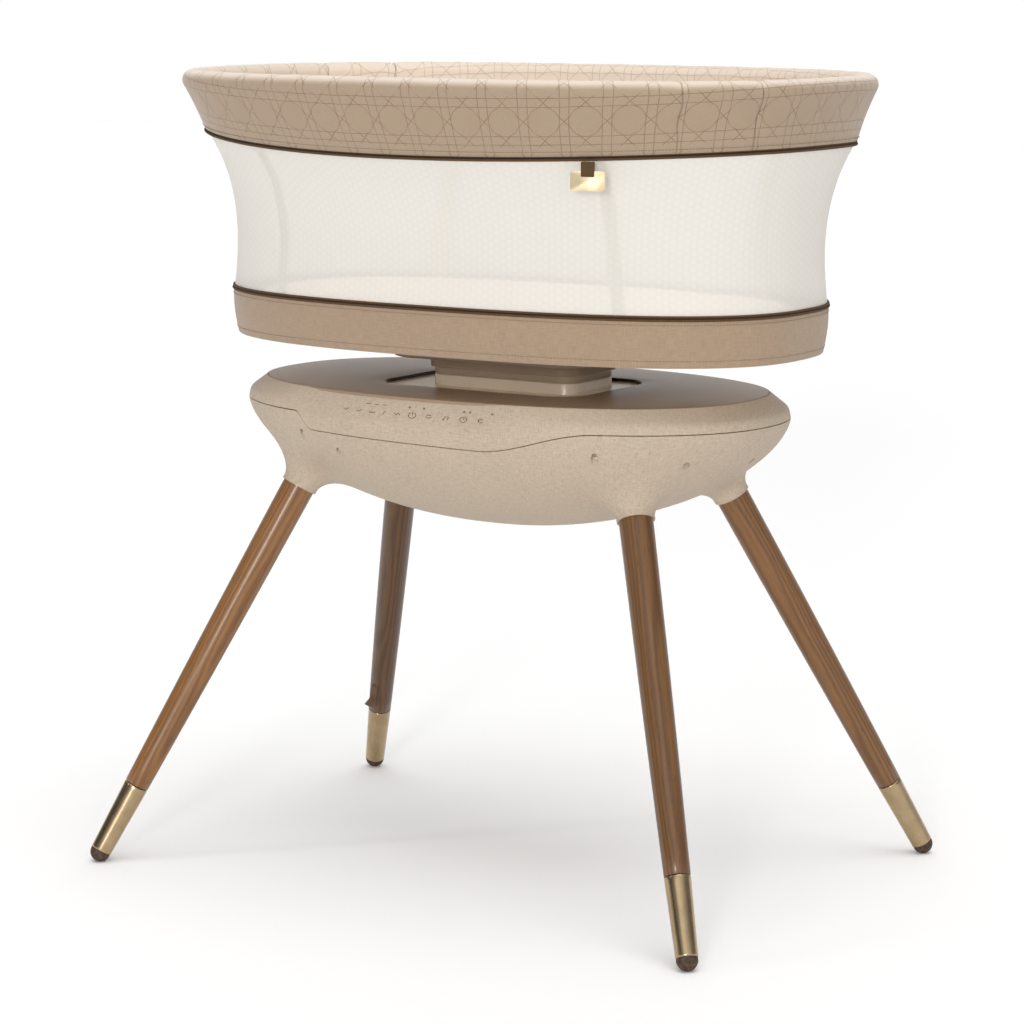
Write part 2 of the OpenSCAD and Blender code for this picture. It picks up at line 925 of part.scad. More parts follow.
rim_tube = 14;
rim_tube_z = 896;
rim_tube_x = rim_x - 20;
rim_tube_y = rim_y - 20;

// Flat struts inside the mesh join the tray to the rim frame, one near each corner.
// The route's points run up from the tray: [x, y, height]
strut_w = 16;
strut_t = 3;
strut_turn = 71;
strut_route = [
    [236, 160, tray_z + board_t], [220, 162, 735], [221, 176, 800], [227, 204, 842],
    [223, 224, rim_tube_z]
];
module strut_span(side, from, extra) {
    low = strut_route[from];
    top = strut_route[from + 1];
    hull()
        for (p = [low, top + (top - low) * extra / 5])
            translate([side[0] * p[0], side[1] * p[1], p[2]])
                rotate([0, 0, side[0] * side[1] * strut_turn])
                    cube([strut_t + 2 * extra, strut_w + 2 * extra, 0.02], center = true);
}

module strut(side) {
    color(cream)
        translate([rest_x, rest_y, 0])
            for (k = [0 : len(strut_route) - 2])
                strut_span(side, k, 0);
}

module upper_piping() {
    color(brown_tape)
        translate([rest_x, rest_y, 0])
            piping_loop(collar_band_x + 0.5, collar_band_y + 0.5, upper_piping_z + 0.5, tray_n);
}

module rim_frame_form(extra) {
    translate([rest_x, rest_y, rim_tube_z - extra])
        linear_extrude(rim_tube + 2 * extra)
            difference() {
                polygon(oval(rim_tube_x + extra, rim_tube_y + extra, rim_n));
                polygon(oval(rim_tube_x - 8 - extra, rim_tube_y - 8 - extra, rim_n));
            }
}

module rim_frame() {
    color(steel)
        rim_frame_form(0);
}

rim_pad = 30;
module rim_cover() {
    color(rim_tan)
        difference() {
            translate([rest_x, rest_y, 0])
                loop_wall([
                    [collar_band_x, collar_band_y, upper_piping_z + 3.2, tray_n],
                    [collar_band_x + 4, collar_band_y + 10, upper_piping_z + 28, tray_n],
                    [rim_x - 1, rim_y - 3, rim_z - 24, rim_n],
                    [rim_x, rim_y, rim_z - 13, rim_n],
                    [rim_x - 4, rim_y - 4, rim_z - 4, rim_n],
                    [rim_x - 12, rim_y - 12, rim_z, rim_n],
                    [rim_x - rim_pad + 8, rim_y - rim_pad + 8, rim_z - 3, rim_n],
                    [rim_x - rim_pad, rim_y - rim_pad, rim_z - 13, rim_n],
                    [rim_x - rim_pad - 2, rim_y - rim_pad - 6, rim_z - 34, rim_n],
                    [collar_band_x - 9, collar_band_y - 9, upper_piping_z + 24, tray_n],
                    [collar_band_x - 5, collar_band_y - 5, upper_piping_z + 3.2, tray_n]
                ]);
            rim_frame_form(0.2);
            for (side = corners)
                translate([rest_x, rest_y, 0])
                    strut_span(side, len(strut_route) - 2, 0.3);
        }
}

mattress_t = 42;
mattress_clear = 20;
module mattress() {
    color(cream)
        translate([rest_x, rest_y, tray_z + board_t])
            linear_extrude(mattress_t)
                polygon(oval(tray_x - mattress_clear, tray_y - mattress_clear, tray_n));
}

// Woven loop and blank metal plate that hang from the upper piping at the front
tag_spot = [223, -219];
tag_turn = 16;
tag_w = 38.5;
tag_h = 21;
tag_loop_w = 17;
tag_plate_drop = 6;
tag_t = 1.2;
tag_stand_off = 3;
module on_tag() {
    translate([rest_x + tag_spot[0], rest_y + tag_spot[1], upper_piping_z - piping_r])
        rotate([0, 0, tag_turn])
            children();
}

module tag_loop() {
    color(brown_tape)
        on_tag()
            translate([-tag_loop_w / 2, -tag_stand_off, -12])
                cube([tag_loop_w, tag_t, 12]);
}

module tag_plate() {
    color(satin_brass)
        on_tag()
            translate([0, -tag_stand_off, -tag_plate_drop])
                rotate([90, 0, 0])
                    difference() {
                        translate([0, -tag_h / 2, 0])
                            rounded_plate(tag_w / 2, tag_h / 2, 2, tag_t);
                        translate([0, -4, -1])
                            rounded_plate(tag_loop_w / 2 + 1, 1.4, 1, 5);
                    }
}

lower_shell();
upper_shell();
deck();
chassis_plate();
chassis_screws();
leg(FL);  // leg_front_left
leg(FR);  // leg_front_right
leg(BL);  // leg_back_left
leg(BR);  // leg_back_right
ferrule(FL);  // ferrule_front_left
ferrule(FR);  // ferrule_front_right
ferrule(BL);  // ferrule_back_left
ferrule(BR);  // ferrule_back_right
foot(FL);  // foot_front_left
foot(FR);  // foot_front_right
foot(BL);  // foot_back_left
foot(BR);  // foot_back_right
leg_studs();
leg_inserts();
shell_screws();
cord_clip();
power_inlet();
main_board();
touch_board();
speaker();
x_rail(-rail_y);  // x_rail_front
x_rail(rail_y);  // x_rail_back
x_rail_blocks();
x_motor();
x_pinion();
x_rack();
x_carriage();
y_rail(-1);  // y_rail_left
y_rail(1);  // y_rail_right
y_rail_blocks();
y_motor();
y_pinion();
y_rack();
y_carriage();
shutter_plate();
post_lower();
post_upper();
dock_plate();
dock_bolts();
tray_board();
tray_cover();
lower_piping();
mesh_panel(-1);  // mesh_front
mesh_panel(1);  // mesh_back
strut(FL);  // strut_front_left
strut(FR);  // strut_front_right
strut(BL);  // strut_back_left
strut(BR);  // strut_back_right
upper_piping();
rim_frame();
rim_cover();
mattress();
tag_loop();
tag_plate();
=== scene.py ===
"""Looks of the bassinet on its gliding stand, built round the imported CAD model.

Lengths are in metres, in the frame's own axes: +X along the bassinet, -Y to the front.
Cloth texture coordinates are in metres too: u runs round the object and v up it.
"""

import json
import math

import bpy
import numpy as np
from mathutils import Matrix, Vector


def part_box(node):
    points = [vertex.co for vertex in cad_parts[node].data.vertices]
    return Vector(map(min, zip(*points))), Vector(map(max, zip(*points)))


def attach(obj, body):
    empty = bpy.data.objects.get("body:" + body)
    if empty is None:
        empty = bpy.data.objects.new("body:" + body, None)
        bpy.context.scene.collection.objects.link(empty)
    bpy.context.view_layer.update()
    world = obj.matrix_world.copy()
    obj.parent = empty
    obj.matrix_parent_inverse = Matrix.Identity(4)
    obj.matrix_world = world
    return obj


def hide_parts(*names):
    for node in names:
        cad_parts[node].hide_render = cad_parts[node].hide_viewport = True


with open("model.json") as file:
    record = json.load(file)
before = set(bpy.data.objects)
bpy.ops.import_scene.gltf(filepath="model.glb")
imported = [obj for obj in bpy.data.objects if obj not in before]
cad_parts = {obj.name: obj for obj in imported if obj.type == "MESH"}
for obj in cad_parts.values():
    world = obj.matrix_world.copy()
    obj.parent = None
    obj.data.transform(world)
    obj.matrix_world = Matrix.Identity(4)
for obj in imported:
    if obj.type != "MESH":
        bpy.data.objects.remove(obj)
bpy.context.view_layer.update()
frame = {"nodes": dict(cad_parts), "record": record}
scene = bpy.context.scene
MM = 0.001


# ---- Camera, floor and light ----

def make_camera():
    data = bpy.data.cameras.new("camera")
    data.sensor_width = 36
    data.lens = 117.19
    data.clip_end = 60
    camera = bpy.data.objects.new("camera", data)
    camera.location = (2.0879, -3.2267, 1.0515)
    camera.rotation_euler = (math.radians(80.60), 0, math.radians(32.93))
    scene.collection.objects.link(camera)
    scene.camera = camera


def add_light(name, kind, power, toward, at=(0, 0, 0), **settings):
    """A light that shines in the direction toward."""
    data = bpy.data.lights.new(name, kind)
    data.energy = power
    for key, value in settings.items():
        setattr(data, key, value)
    light = bpy.data.objects.new(name, data)
    light.location = at
    light.rotation_euler = Vector(toward).to_track_quat("-Z", "Y").to_euler()
    scene.collection.objects.link(light)


def sun(name, azimuth, elevation, power, spread):
    """A soft light from far away. Its azimuth counts from -Y towards +X."""
    turn, climb = math.radians(azimuth), math.radians(elevation)
    flat = math.cos(climb)
    toward = (-math.sin(turn) * flat, math.cos(turn) * flat, -math.sin(climb))
    add_light(name, "SUN", power, toward, angle=math.radians(spread))


def make_sky():
    """A white studio, dimmer overhead and high at its two sides, most of all the left."""
    world = bpy.data.worlds.new("studio")
    world.use_nodes = True
    g = Graph(world.node_tree)
    where = g.node("TexCoord").outputs["Generated"]
    height = g.split(where)["Z"]
    across = g.node("VectorMath", {0: where, 1: (0.839, 0.544, 0)}, operation="DOT_PRODUCT")
    sideways = g.times(across.outputs["Value"], g.remap(height, 0.0, 0.15))
    strength = g.times(g.remap(height, 0.3, 0.9, 1.0, 0.85),
                       g.remap(g.math("ABSOLUTE", sideways), 0.4, 0.9, 1.0, 0.25))
    strength = g.times(strength, g.remap(sideways, -0.25, -0.9, 1.0, 0.40))
    background = g.tree.nodes["Background"]
    g.put(background.inputs["Color"], (1, 1, 1, 1))
    g.put(background.inputs["Strength"], strength)
    scene.world = world


def make_studio():
    make_sky()
    scene.view_settings.view_transform = "Standard"
    sun("front", 24, 22, 0.2, 50)
    sun("low_front", 22, 11, 0.95, 9)
    sun("overhead", 60, 80, 0.88, 40)
    add_light("strip", "AREA", 8, (2.3, 2.6, -2.1), (-2.3, -2.6, 2.6),
              shape="RECTANGLE", size=0.10, size_y=1.8)
    mesh = bpy.data.meshes.new("floor")
    reach = 14
    mesh.from_pydata([(-reach, -reach, 0), (reach, -reach, 0), (reach, reach, 0), (-reach, reach, 0)],
                     [], [(0, 1, 2, 3)])
    floor = bpy.data.objects.new("floor", mesh)
    scene.collection.objects.link(floor)
    mesh.materials.append(plain("studio_floor", (0.99, 0.99, 0.99), 0.9))


# ---- Materials ----

def linear(rgb):
    """An sRGB colour as the linear one that a shader takes."""
    return tuple(c / 12.92 if c <= 0.04045 else ((c + 0.055) / 1.055) ** 2.4 for c in rgb)


def scaled(tone, k):
    """An sRGB colour made k times as light, as a linear one."""
    return linear([c * k for c in tone])


class Graph:
    """Builds nodes in one node tree."""

    def __init__(self, tree):
        self.tree = tree

    def put(self, socket, value):
        if isinstance(value, bpy.types.NodeSocket):
            self.tree.links.new(value, socket)
        else:
            socket.default_value = value

    def put_colour(self, socket, value):
        self.put(socket, value if isinstance(value, bpy.types.NodeSocket) else (*value, 1))

    def node(self, kind, inputs=None, **settings):
        made = self.tree.nodes.new("ShaderNode" + kind)
        for key, value in settings.items():
            setattr(made, key, value)
        for key, value in (inputs or {}).items():
            self.put(made.inputs[key], value)
        return made

    def split(self, vector):
        return self.node("SeparateXYZ", {"Vector": vector}).outputs

    def math(self, operation, a, b=0.0):
        return self.node("Math", {0: a, 1: b}, operation=operation).outputs[0]

    def times(self, a, b):
        return self.math("MULTIPLY", a, b)

    def plus(self, a, b):
        return self.math("ADD", a, b)

    def minus(self, a, b):
        return self.math("SUBTRACT", a, b)

    def remap(self, value, low, high, to_low=0.0, to_high=1.0):
        inputs = {"Value": value, "From Min": low, "From Max": high, "To Min": to_low, "To Max": to_high}
        return self.node("MapRange", inputs).outputs["Result"]


class Surface(Graph):
    """Builds the nodes of one material."""

    def __init__(self, name, rough, metallic=0.0, **sockets):
        self.material = bpy.data.materials.new(name)
        self.material.use_nodes = True
        super().__init__(self.material.node_tree)
        self.shader = self.tree.nodes["Principled BSDF"]
        for key, value in dict(Roughness=rough, Metallic=metallic, **sockets).items():
            self.shader.inputs[key.replace("_", " ")].default_value = value

    def uv(self):
        return self.node("TexCoord").outputs["UV"]

    def local(self):
        return self.node("Attribute", attribute_name="local").outputs["Vector"]

    def place(self):
        return self.node("TexCoord").outputs["Object"]

    def stretch(self, vector, scale):
        return self.node("Mapping", {"Vector": vector, "Scale": scale}).outputs["Vector"]

    def noise(self, vector, scale, detail=2.0, rough=0.5):
        inputs = {"Vector": vector, "Scale": scale, "Detail": detail, "Roughness": rough}
        return self.node("TexNoise", inputs).outputs["Fac"]

    def mix(self, share, a, b):
        made = self.node("Mix", data_type="RGBA")
        self.put(made.inputs["Factor"], share)
        self.put_colour(made.inputs[6], a)
        self.put_colour(made.inputs[7], b)
        return made.outputs[2]

    def colour(self, value):
        self.put_colour(self.shader.inputs["Base Color"], value)

    def rough(self, value):
        self.put(self.shader.inputs["Roughness"], value)

    def bump(self, height, depth, strength=1.0):
        made = self.node("Bump", {"Height": height, "Distance": depth, "Strength": strength})
        self.put(self.shader.inputs["Normal"], made.outputs["Normal"])


def plain(name, tone, rough):
    g = Surface(name, rough)
    g.colour(tone)
    return g.material


def threads(g, vector, across, along):
    """Uneven crossing threads, from 0 to 1: a thread is across wide and keeps its tone for along."""
    warp = g.noise(g.stretch(vector, (1 / across, 1 / along, 1)), 1.0, 1.0)
    weft = g.noise(g.stretch(vector, (1 / along, 1 / across, 1)), 1.0, 1.0)
    return g.times(g.plus(warp, weft), 0.5)


def linen_plastic():
    """Moulded plastic with a linen weave in its surface, a little lighter in soft random patches."""
    g = Surface("linen_plastic", 0.62, Specular_IOR_Level=0.35)
    weave = threads(g, g.uv(), 0.85 * MM, 8 * MM)
    slub = threads(g, g.uv(), 1.8 * MM, 34 * MM)
    mottle = g.noise(g.place(), 14, 3)
    tone = g.mix(g.remap(weave, 0.34, 0.66), linear((0.650, 0.584, 0.505)), linear((0.748, 0.686, 0.614)))
    tone = g.mix(g.remap(slub, 0.30, 0.46, 0.25, 0.0), tone, linear((0.56, 0.49, 0.41)))
    tone = g.mix(g.remap(mottle, 0.35, 0.7, 0.0, 0.14), tone, linear((0.79, 0.72, 0.64)))
    g.colour(tone)
    g.rough(g.remap(weave, 0.3, 0.7, 0.70, 0.52))
    g.bump(weave, 0.35 * MM, 0.5)
    return g.material


def satin_plastic(name, tone, rough=0.42, shine=0.45, shaded=None):
    """Smooth moulded plastic with a fine spark-eroded grain. shaded is its tone where local x is 1."""
    g = Surface(name, rough, Specular_IOR_Level=shine)
    grain = g.noise(g.place(), 1400, 2)
    cloud = g.noise(g.place(), 9, 3)
    clouded = g.mix(g.remap(cloud, 0.3, 0.7), scaled(tone, 0.96), scaled(tone, 1.03))
    g.colour(g.mix(g.split(g.local())[0], clouded, linear(shaded)) if shaded else clouded)
    g.rough(g.remap(grain, 0.3, 0.7, rough - 0.05, rough + 0.07))
    g.bump(grain, 0.05 * MM, 0.5)
    return g.material


def walnut(name, lift=1.0):
    """Turned wood: long grain, cathedral figure, open pores and a satin lacquer. lift scales its tone; the
    legs use it for painted light and shade.
    """
    g = Surface(name, 0.42, Coat_Weight=0.32, Coat_Roughness=0.18, Specular_IOR_Level=0.3)
    at = g.local()
    sway = g.noise(g.stretch(at, (14, 14, 3.2)), 1.0, 2)
    x, y, z = g.split(at)
    bend = g.times(g.minus(sway, 0.5), 0.022)
    moved = g.node("CombineXYZ", {0: g.plus(x, bend), 1: y, 2: z}).outputs[0]
    rings = g.node("TexWave", {"Vector": g.stretch(moved, (1, 0.45, 0.035)), "Scale": 70, "Distortion": 4.5,
                               "Detail": 3.0, "Detail Scale": 1.4}, wave_type="RINGS",
                   rings_direction="Z").outputs["Fac"]
    fibre = g.noise(g.stretch(at, (900, 900, 14)), 1.0, 3, 0.6)
    streak = g.noise(g.stretch(at, (150, 150, 3.5)), 1.0, 3, 0.6)
    pores = g.noise(g.stretch(at, (1500, 1500, 60)), 1.0, 2)
    tone = scaled((0.335, 0.222, 0.118), lift)
    for share, brown in ((g.remap(rings, 0.1, 0.9), (0.430, 0.298, 0.165)),
                         (g.remap(streak, 0.35, 0.7, 0.0, 0.45), (0.275, 0.178, 0.098)),
                         (g.remap(fibre, 0.3, 0.75, 0.0, 0.4), (0.45, 0.325, 0.20)),
                         (g.remap(pores, 0.60, 0.70, 0.0, 0.5), (0.17, 0.105, 0.07))):
        tone = g.mix(share, tone, scaled(brown, lift))
    g.colour(tone)
    g.rough(g.remap(fibre, 0.3, 0.7, 0.30, 0.46))
    g.bump(g.plus(fibre, g.times(pores, -0.8)), 0.10 * MM, 0.5)
    return g.material


def brushed_metal(name, tone, rough=0.26, across=(700, 700, 9)):
    """Plated metal with fine turning marks. across is how the marks run in the piece's own axes."""
    g = Surface(name, rough, 1.0)
    marks = g.noise(g.stretch(g.local(), across), 1.0, 2)
    smudge = g.noise(g.local(), 60, 3)
    g.colour(g.mix(g.remap(smudge, 0.3, 0.7), scaled(tone, 0.94), scaled(tone, 1.04)))
    g.rough(g.remap(marks, 0.3, 0.7, rough - 0.05, rough + 0.08))
    g.bump(marks, 0.03 * MM, 0.35)
    return g.material


def rubber():
    g = Surface("rubber", 0.62, Specular_IOR_Level=0.3)
    dust = g.noise(g.local(), 240, 4)
    g.colour(g.mix(g.remap(dust, 0.4, 0.75), linear((0.23, 0.165, 0.125)), linear((0.36, 0.29, 0.235))))
    g.bump(dust, 0.12 * MM, 0.6)
    return g.material


def twill(name, tone, pitch=1.3 * MM, sheen=0.25, shaded=None, lined=None):
    """Woven band cloth: fine diagonal ribs over uneven yarns.

    shaded is its tone where local x is 1, and lined its tone where local y is 1.
    """
    g = Surface(name, 0.88, Specular_IOR_Level=0.2, Sheen_Weight=sheen, Sheen_Roughness=0.5)
    at = g.uv()
    u, v, _ = g.split(at)
    diagonal = g.plus(u, g.times(v, 0.8))
    rib = g.math("SINE", g.times(diagonal, 2 * math.pi / pitch))
    yarn = threads(g, at, 0.9 * MM, 12 * MM)
    cloud = g.noise(at, 22, 3)
    shade = g.plus(g.remap(rib, -1, 1, 0.0, 0.35), g.remap(yarn, 0.35, 0.65, 0.0, 0.65))
    tint = g.mix(shade, scaled(tone, 0.90), scaled(tone, 1.07))
    tint = g.mix(g.remap(cloud, 0.4, 0.75, 0.0, 0.25), tint, scaled(tone, 0.93))
    if shaded:
        groove, inner, _ = g.split(g.local())
        tint = g.mix(inner, g.mix(groove, tint, linear(shaded)), linear(lined))
    g.colour(tint)
    g.bump(g.plus(g.times(rib, 0.5), yarn), 0.22 * MM, 0.6)
    return g.material


def near_line(g, value, pitch, at, half_width):
    """1 on lines that repeat every pitch, offset by at, and 0 elsewhere."""
    away = g.math("PINGPONG", g.minus(value, at), pitch / 2)
    return g.remap(away, half_width * 0.55, half_width * 1.45, 1.0, 0.0)


def cane_lines(g, u, v):
    """Paired lines both ways and single diagonals, each a mark from 0 to 1."""
    pair, half_width = CANE_PAIR / 2, 0.55 * MM
    lines = [near_line(g, value, CANE_PITCH, CANE_PITCH / 2 + shift, half_width)
             for value in (u, v) for shift in (-pair, pair)]
    step = CANE_PITCH / math.sqrt(2)
    for sign in (1, -1):
        diagonal = g.times(g.plus(u, g.times(v, sign)), math.sqrt(0.5))
        lines.append(near_line(g, diagonal, step, step / 2, half_width))
    return lines


def cane_hole(g, u, v):
    """The round hole in the middle of each figure, and the line round it."""
    cu, cv = [g.math("PINGPONG", value, CANE_PITCH / 2) for value in (u, v)]
    radius = g.math("SQRT", g.plus(g.times(cu, cu), g.times(cv, cv)))
    disc_r = (CANE_PITCH - CANE_PAIR) / 2
    disc = g.remap(radius, disc_r - 1.2 * MM, disc_r - 0.2 * MM, 1.0, 0.0)
    ring = g.remap(g.math("ABSOLUTE", g.minus(radius, disc_r)), 0.3 * MM, 0.8 * MM, 0.8, 0.0)
    return disc, ring


def cane_cloth(name, tone, ink, hole, lining_tone_with_light):
    """Soft jersey printed with a cane-webbing figure: paired lines, diagonals and round holes.

    lining_tone_with_light is its tone where local x is 1: a paler lining cloth, with painted light from
    above on it. Where local y is 1 it has painted shade in its seam creases.
    """
    g = Surface(name, 0.9, Specular_IOR_Level=0.18, Sheen_Weight=0.3, Sheen_Roughness=0.45)
    at = g.uv()
    wobble = g.times(g.minus(g.noise(at, 30, 1), 0.5), 1.6 * MM)
    u, v, _ = g.split(at)
    u, v = g.plus(u, wobble), g.minus(v, wobble)
    disc, ring = cane_hole(g, u, v)
    inside, seam_shade, _ = g.split(g.local())
    row = g.math("MAXIMUM", inside, g.remap(g.math("ABSOLUTE", v), 0.023, 0.027, 1.0, 0.15))
    marks = g.times(ring, row)
    for line in cane_lines(g, u, v):
        marks = g.math("MAXIMUM", marks, line)
    marks = g.times(marks, g.minus(1.0, disc))
    yarn = threads(g, at, 0.7 * MM, 5 * MM)
    cloud = g.noise(at, 16, 3)
    cloth = g.mix(g.remap(yarn, 0.35, 0.65), scaled(tone, 0.965), scaled(tone, 1.025))
    hollow = g.times(g.times(disc, row), g.remap(cloud, 0.3, 0.7, 0.1, 0.6))
    # Paler lining cloth with painted light from above where local x is 1. The print is uneven, and weaker
    # on the lining.
    cloth = g.mix(inside, g.mix(hollow, cloth, linear(hole)), linear(lining_tone_with_light))
    ink_strength = g.times(g.remap(g.noise(at, 60, 2), 0.25, 0.6, 0.45, 0.85), g.remap(inside, 0, 1, 1.0, 0.45))
    cloth = g.mix(g.times(marks, ink_strength), cloth, linear(ink))
    # Painted shade along the seam creases, where local y is 1.
    g.colour(g.mix(g.times(seam_shade, 0.6), cloth, scaled(tone, 0.6)))
    g.bump(g.plus(yarn, g.times(g.noise(at, 90, 2), 1.2)), 0.3 * MM, 0.45)
    return g.material


def net_cloth():
    """See-through knitted net: a fine hexagonal grid with a faint larger figure in it."""
    g = Surface("net_cloth", 0.85, Specular_IOR_Level=0.2, Sheen_Weight=0.15)
    at = g.uv()
    cells = g.node("TexVoronoi", {"Vector": g.stretch(at, (1, 1.15, 1)), "Scale": 1 / (1.3 * MM),
                                  "Randomness": 0.12}, feature="DISTANCE_TO_EDGE",
                   voronoi_dimensions="2D").outputs["Distance"]
    hole = g.remap(cells, 0.10, 0.32)
    u, v, _ = g.split(at)
    knots = 0.0
    for turn in (0, 60, 120):
        along = g.plus(g.times(u, math.cos(math.radians(turn))),
                       g.times(v, math.sin(math.radians(turn))))
        knots = g.plus(g.math("COSINE", g.times(along, 2 * math.pi / (7.5 * MM))), knots)
    faint = g.remap(knots, -1.2, 0.6)
    g.colour(g.mix(faint, linear((0.862, 0.845, 0.814)), linear((0.870, 0.853, 0.824))))
    g.put(g.shader.inputs["Alpha"], g.plus(g.remap(hole, 0, 1, 0.875, 0.825),
                                           g.times(faint, 0.008)))
    g.bump(hole, 0.08 * MM, -0.3)
    return g.material


def quilted_cotton():
    g = Surface("mattress_cotton", 0.9, Specular_IOR_Level=0.2, Sheen_Weight=0.2)
    at = g.place()
    yarn = threads(g, at, 0.9 * MM, 9 * MM)
    cloud = g.noise(at, 12, 3)
    tint = g.mix(g.remap(yarn, 0.35, 0.65), linear((0.90, 0.835, 0.78)), linear((0.95, 0.895, 0.85)))
    tint = g.mix(g.remap(cloud, 0.4, 0.7, 0.0, 0.3), tint, linear((0.89, 0.83, 0.775)))
    # Painted light: the top face is painted lighter than the sides, to lift the shade that falls on it
    # inside the walls.
    facing_up = g.split(g.node("NewGeometry").outputs["Normal"])[2]
    g.colour(g.mix(g.remap(facing_up, 0.2, 0.7, 1.0, 0.0), tint, linear((0.86, 0.775, 0.705))))
    g.bump(g.plus(yarn, g.times(cloud, 2.0)), 0.4 * MM, 0.6)
    return g.material


def circuit_board():
    g = Surface("circuit_board", 0.45)
    tracks = g.node("TexVoronoi", {"Vector": g.place(), "Scale": 260, "Randomness": 0.3},
                    feature="DISTANCE_TO_EDGE", distance="MANHATTAN").outputs["Distance"]
    g.colour(g.mix(g.remap(tracks, 0.03, 0.06), linear((0.30, 0.52, 0.34)), linear((0.08, 0.28, 0.18))))
    return g.material


# ---- Meshes ----

def add_mesh(name, points, faces, body, material, replaces=(), uv=None, local=None, normals=None):
    """Adds a piece. uv holds one pair for each face corner, local one point for each vertex."""
    mesh = bpy.data.meshes.new(name)
    mesh.from_pydata(np.asarray(points).tolist(), [], [list(map(int, f)) for f in faces])
    mesh.polygons.foreach_set("use_smooth", np.ones(len(mesh.polygons), bool))
    if uv is not None:
        layer = mesh.uv_layers.new(name="cloth")
        layer.uv.foreach_set("vector", np.asarray(uv, np.float32).ravel())
    if local is not None:
        mesh.attributes.new("local", "FLOAT_VECTOR", "POINT")
        mesh.attributes["local"].data.foreach_set("vector", np.asarray(local, np.float32).ravel())
    if normals is not None:
        mesh.normals_split_custom_set(np.asarray(normals).tolist())
    mesh.materials.append(material)
    piece = bpy.data.objects.new(name, mesh)
    scene.collection.objects.link(piece)
    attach(piece, body)
    if replaces:
        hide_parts(*replaces)
    return piece


def sharpen(piece, degrees=40):
    """Keeps edges sharper than this angle crisp in the shading."""
    piece.data.set_sharp_from_angle(angle=math.radians(degrees))


def turns(count):
    return np.linspace(0, 2 * math.pi, count, endpoint=False)


def unit(vectors):
    return vectors / np.maximum(np.linalg.norm(vectors, axis=-1, keepdims=True), 1e-12)


def between(a, b, share):
    return a + (b - a) * share


def way_round(ring):
    """Length of a closed ring of points."""
    return float(np.linalg.norm(np.roll(ring, -1, 0) - ring, axis=1).sum())


def travelled(line):
    """How far along a line of points each of them is."""
    return np.concatenate([[0], np.cumsum(np.linalg.norm(np.diff(line, axis=0), axis=1))])


def oval(a, b, n, shares):
    """Points round |x/a|^n + |y/b|^n = 1 from +X through +Y. shares is how many, or where each one is."""
    turn = np.linspace(0, 2 * math.pi, 8001)
    c, s = np.cos(turn), np.sin(turn)
    outline = np.column_stack([size * np.sign(k) * np.abs(k) ** (2 / n) for size, k in ((a, c), (b, s))])
    along = travelled(outline)
    if isinstance(shares, int):
        shares = np.arange(shares) / shares
    return np.column_stack([np.interp(shares * along[-1], along, outline[:, i]) for i in (0, 1)])


def rounded_box(half_x, half_y, corner, count):
    """Points evenly spaced round a rectangle with round corners, from +X through +Y."""
    start = (half_x, 0.0)
    outline = [start]
    for k, (sx, sy) in enumerate(((1, 1), (-1, 1), (-1, -1), (1, -1))):
        for turn in np.radians(np.linspace(90 * k, 90 * k + 90, 17)):
            outline.append((sx * (half_x - corner) + corner * math.cos(turn),
                            sy * (half_y - corner) + corner * math.sin(turn)))
    outline = np.array(outline + [start])
    along = travelled(outline)
    at = np.linspace(0, along[-1], count, endpoint=False)
    return np.column_stack([np.interp(at, along, outline[:, i]) for i in (0, 1)])


def skin_faces(rows, count, closed):
    """Quads between rows of count points, each row a ring. closed joins the last row to the first."""
    j = np.arange(rows if closed else rows - 1)[:, None]
    k = np.arange(count)[None, :]
    up, on = (j + 1) % rows, (k + 1) % count
    return np.stack([j * count + k, j * count + on, up * count + on, up * count + k], -1).reshape(-1, 4)


def solid_faces(rows, count):
    """Faces between rows of count points, with one face over the first row and one over the last."""
    caps = [list(range(count))[::-1], list(range((rows - 1) * count, rows * count))]
    return skin_faces(rows, count, False).tolist() + caps


def skin_uv(rings, round_length, closed, shares=None):
    """u is the share of the way round times round_length, v the distance up the rings at each place."""
    if closed:
        rings = np.concatenate([rings, rings[:1]])
    steps = np.linalg.norm(np.diff(rings, axis=0), axis=2)
    up = np.vstack([np.zeros(rings.shape[1]), np.cumsum(steps, axis=0)])
    count = rings.shape[1]
    j = np.arange(len(up) - 1)[:, None]
    k = np.arange(count)[None, :]
    on = (k + 1) % count
    stops = np.append(np.arange(count) / count if shares is None else shares, 1) * round_length
    u0, u1 = stops[k] + 0 * j, stops[k + 1] + 0 * j
    corners = ((u0, up[j, k]), (u1, up[j, on]), (u1, up[j + 1, on]), (u0, up[j + 1, k]))
    return np.stack([np.stack(pair, -1) for pair in corners], 2).reshape(-1, 2)


def add_skin(name, rings, body, material, closed=True, replaces=(), round_length=None, caps=False,
             shares=None, local=None):
    """A surface through rings of points. caps closes its first and last ring."""
    rings = np.asarray(rings)
    rows, count = rings.shape[:2]
    if round_length is None:
        round_length = way_round(rings[rows // 2])
    faces = solid_faces(rows, count) if caps else skin_faces(rows, count, closed)
    uv = skin_uv(rings, round_length, closed, shares)
    if caps:
        uv = np.vstack([uv, rings[0][::-1, :2], rings[-1][:, :2]])
    if local is not None:
        local = local.reshape(-1, 3)
    return add_mesh(name, rings.reshape(-1, 3), faces, body, material, replaces, uv, local)


def add_solid(name, rings, local, body, material, node, flat_uv=False):
    """A closed solid through rings of points. flat_uv takes its cloth coordinates from local."""
    rings, local = [np.array(part)[:, ::-1] for part in (rings, local)]
    faces = solid_faces(*rings.shape[:2])
    local = local.reshape(-1, 3)
    uv = [local[i, :2] for face in faces for i in face] if flat_uv else None
    return add_mesh(name, rings.reshape(-1, 3), faces, body, material, [node], uv, local)


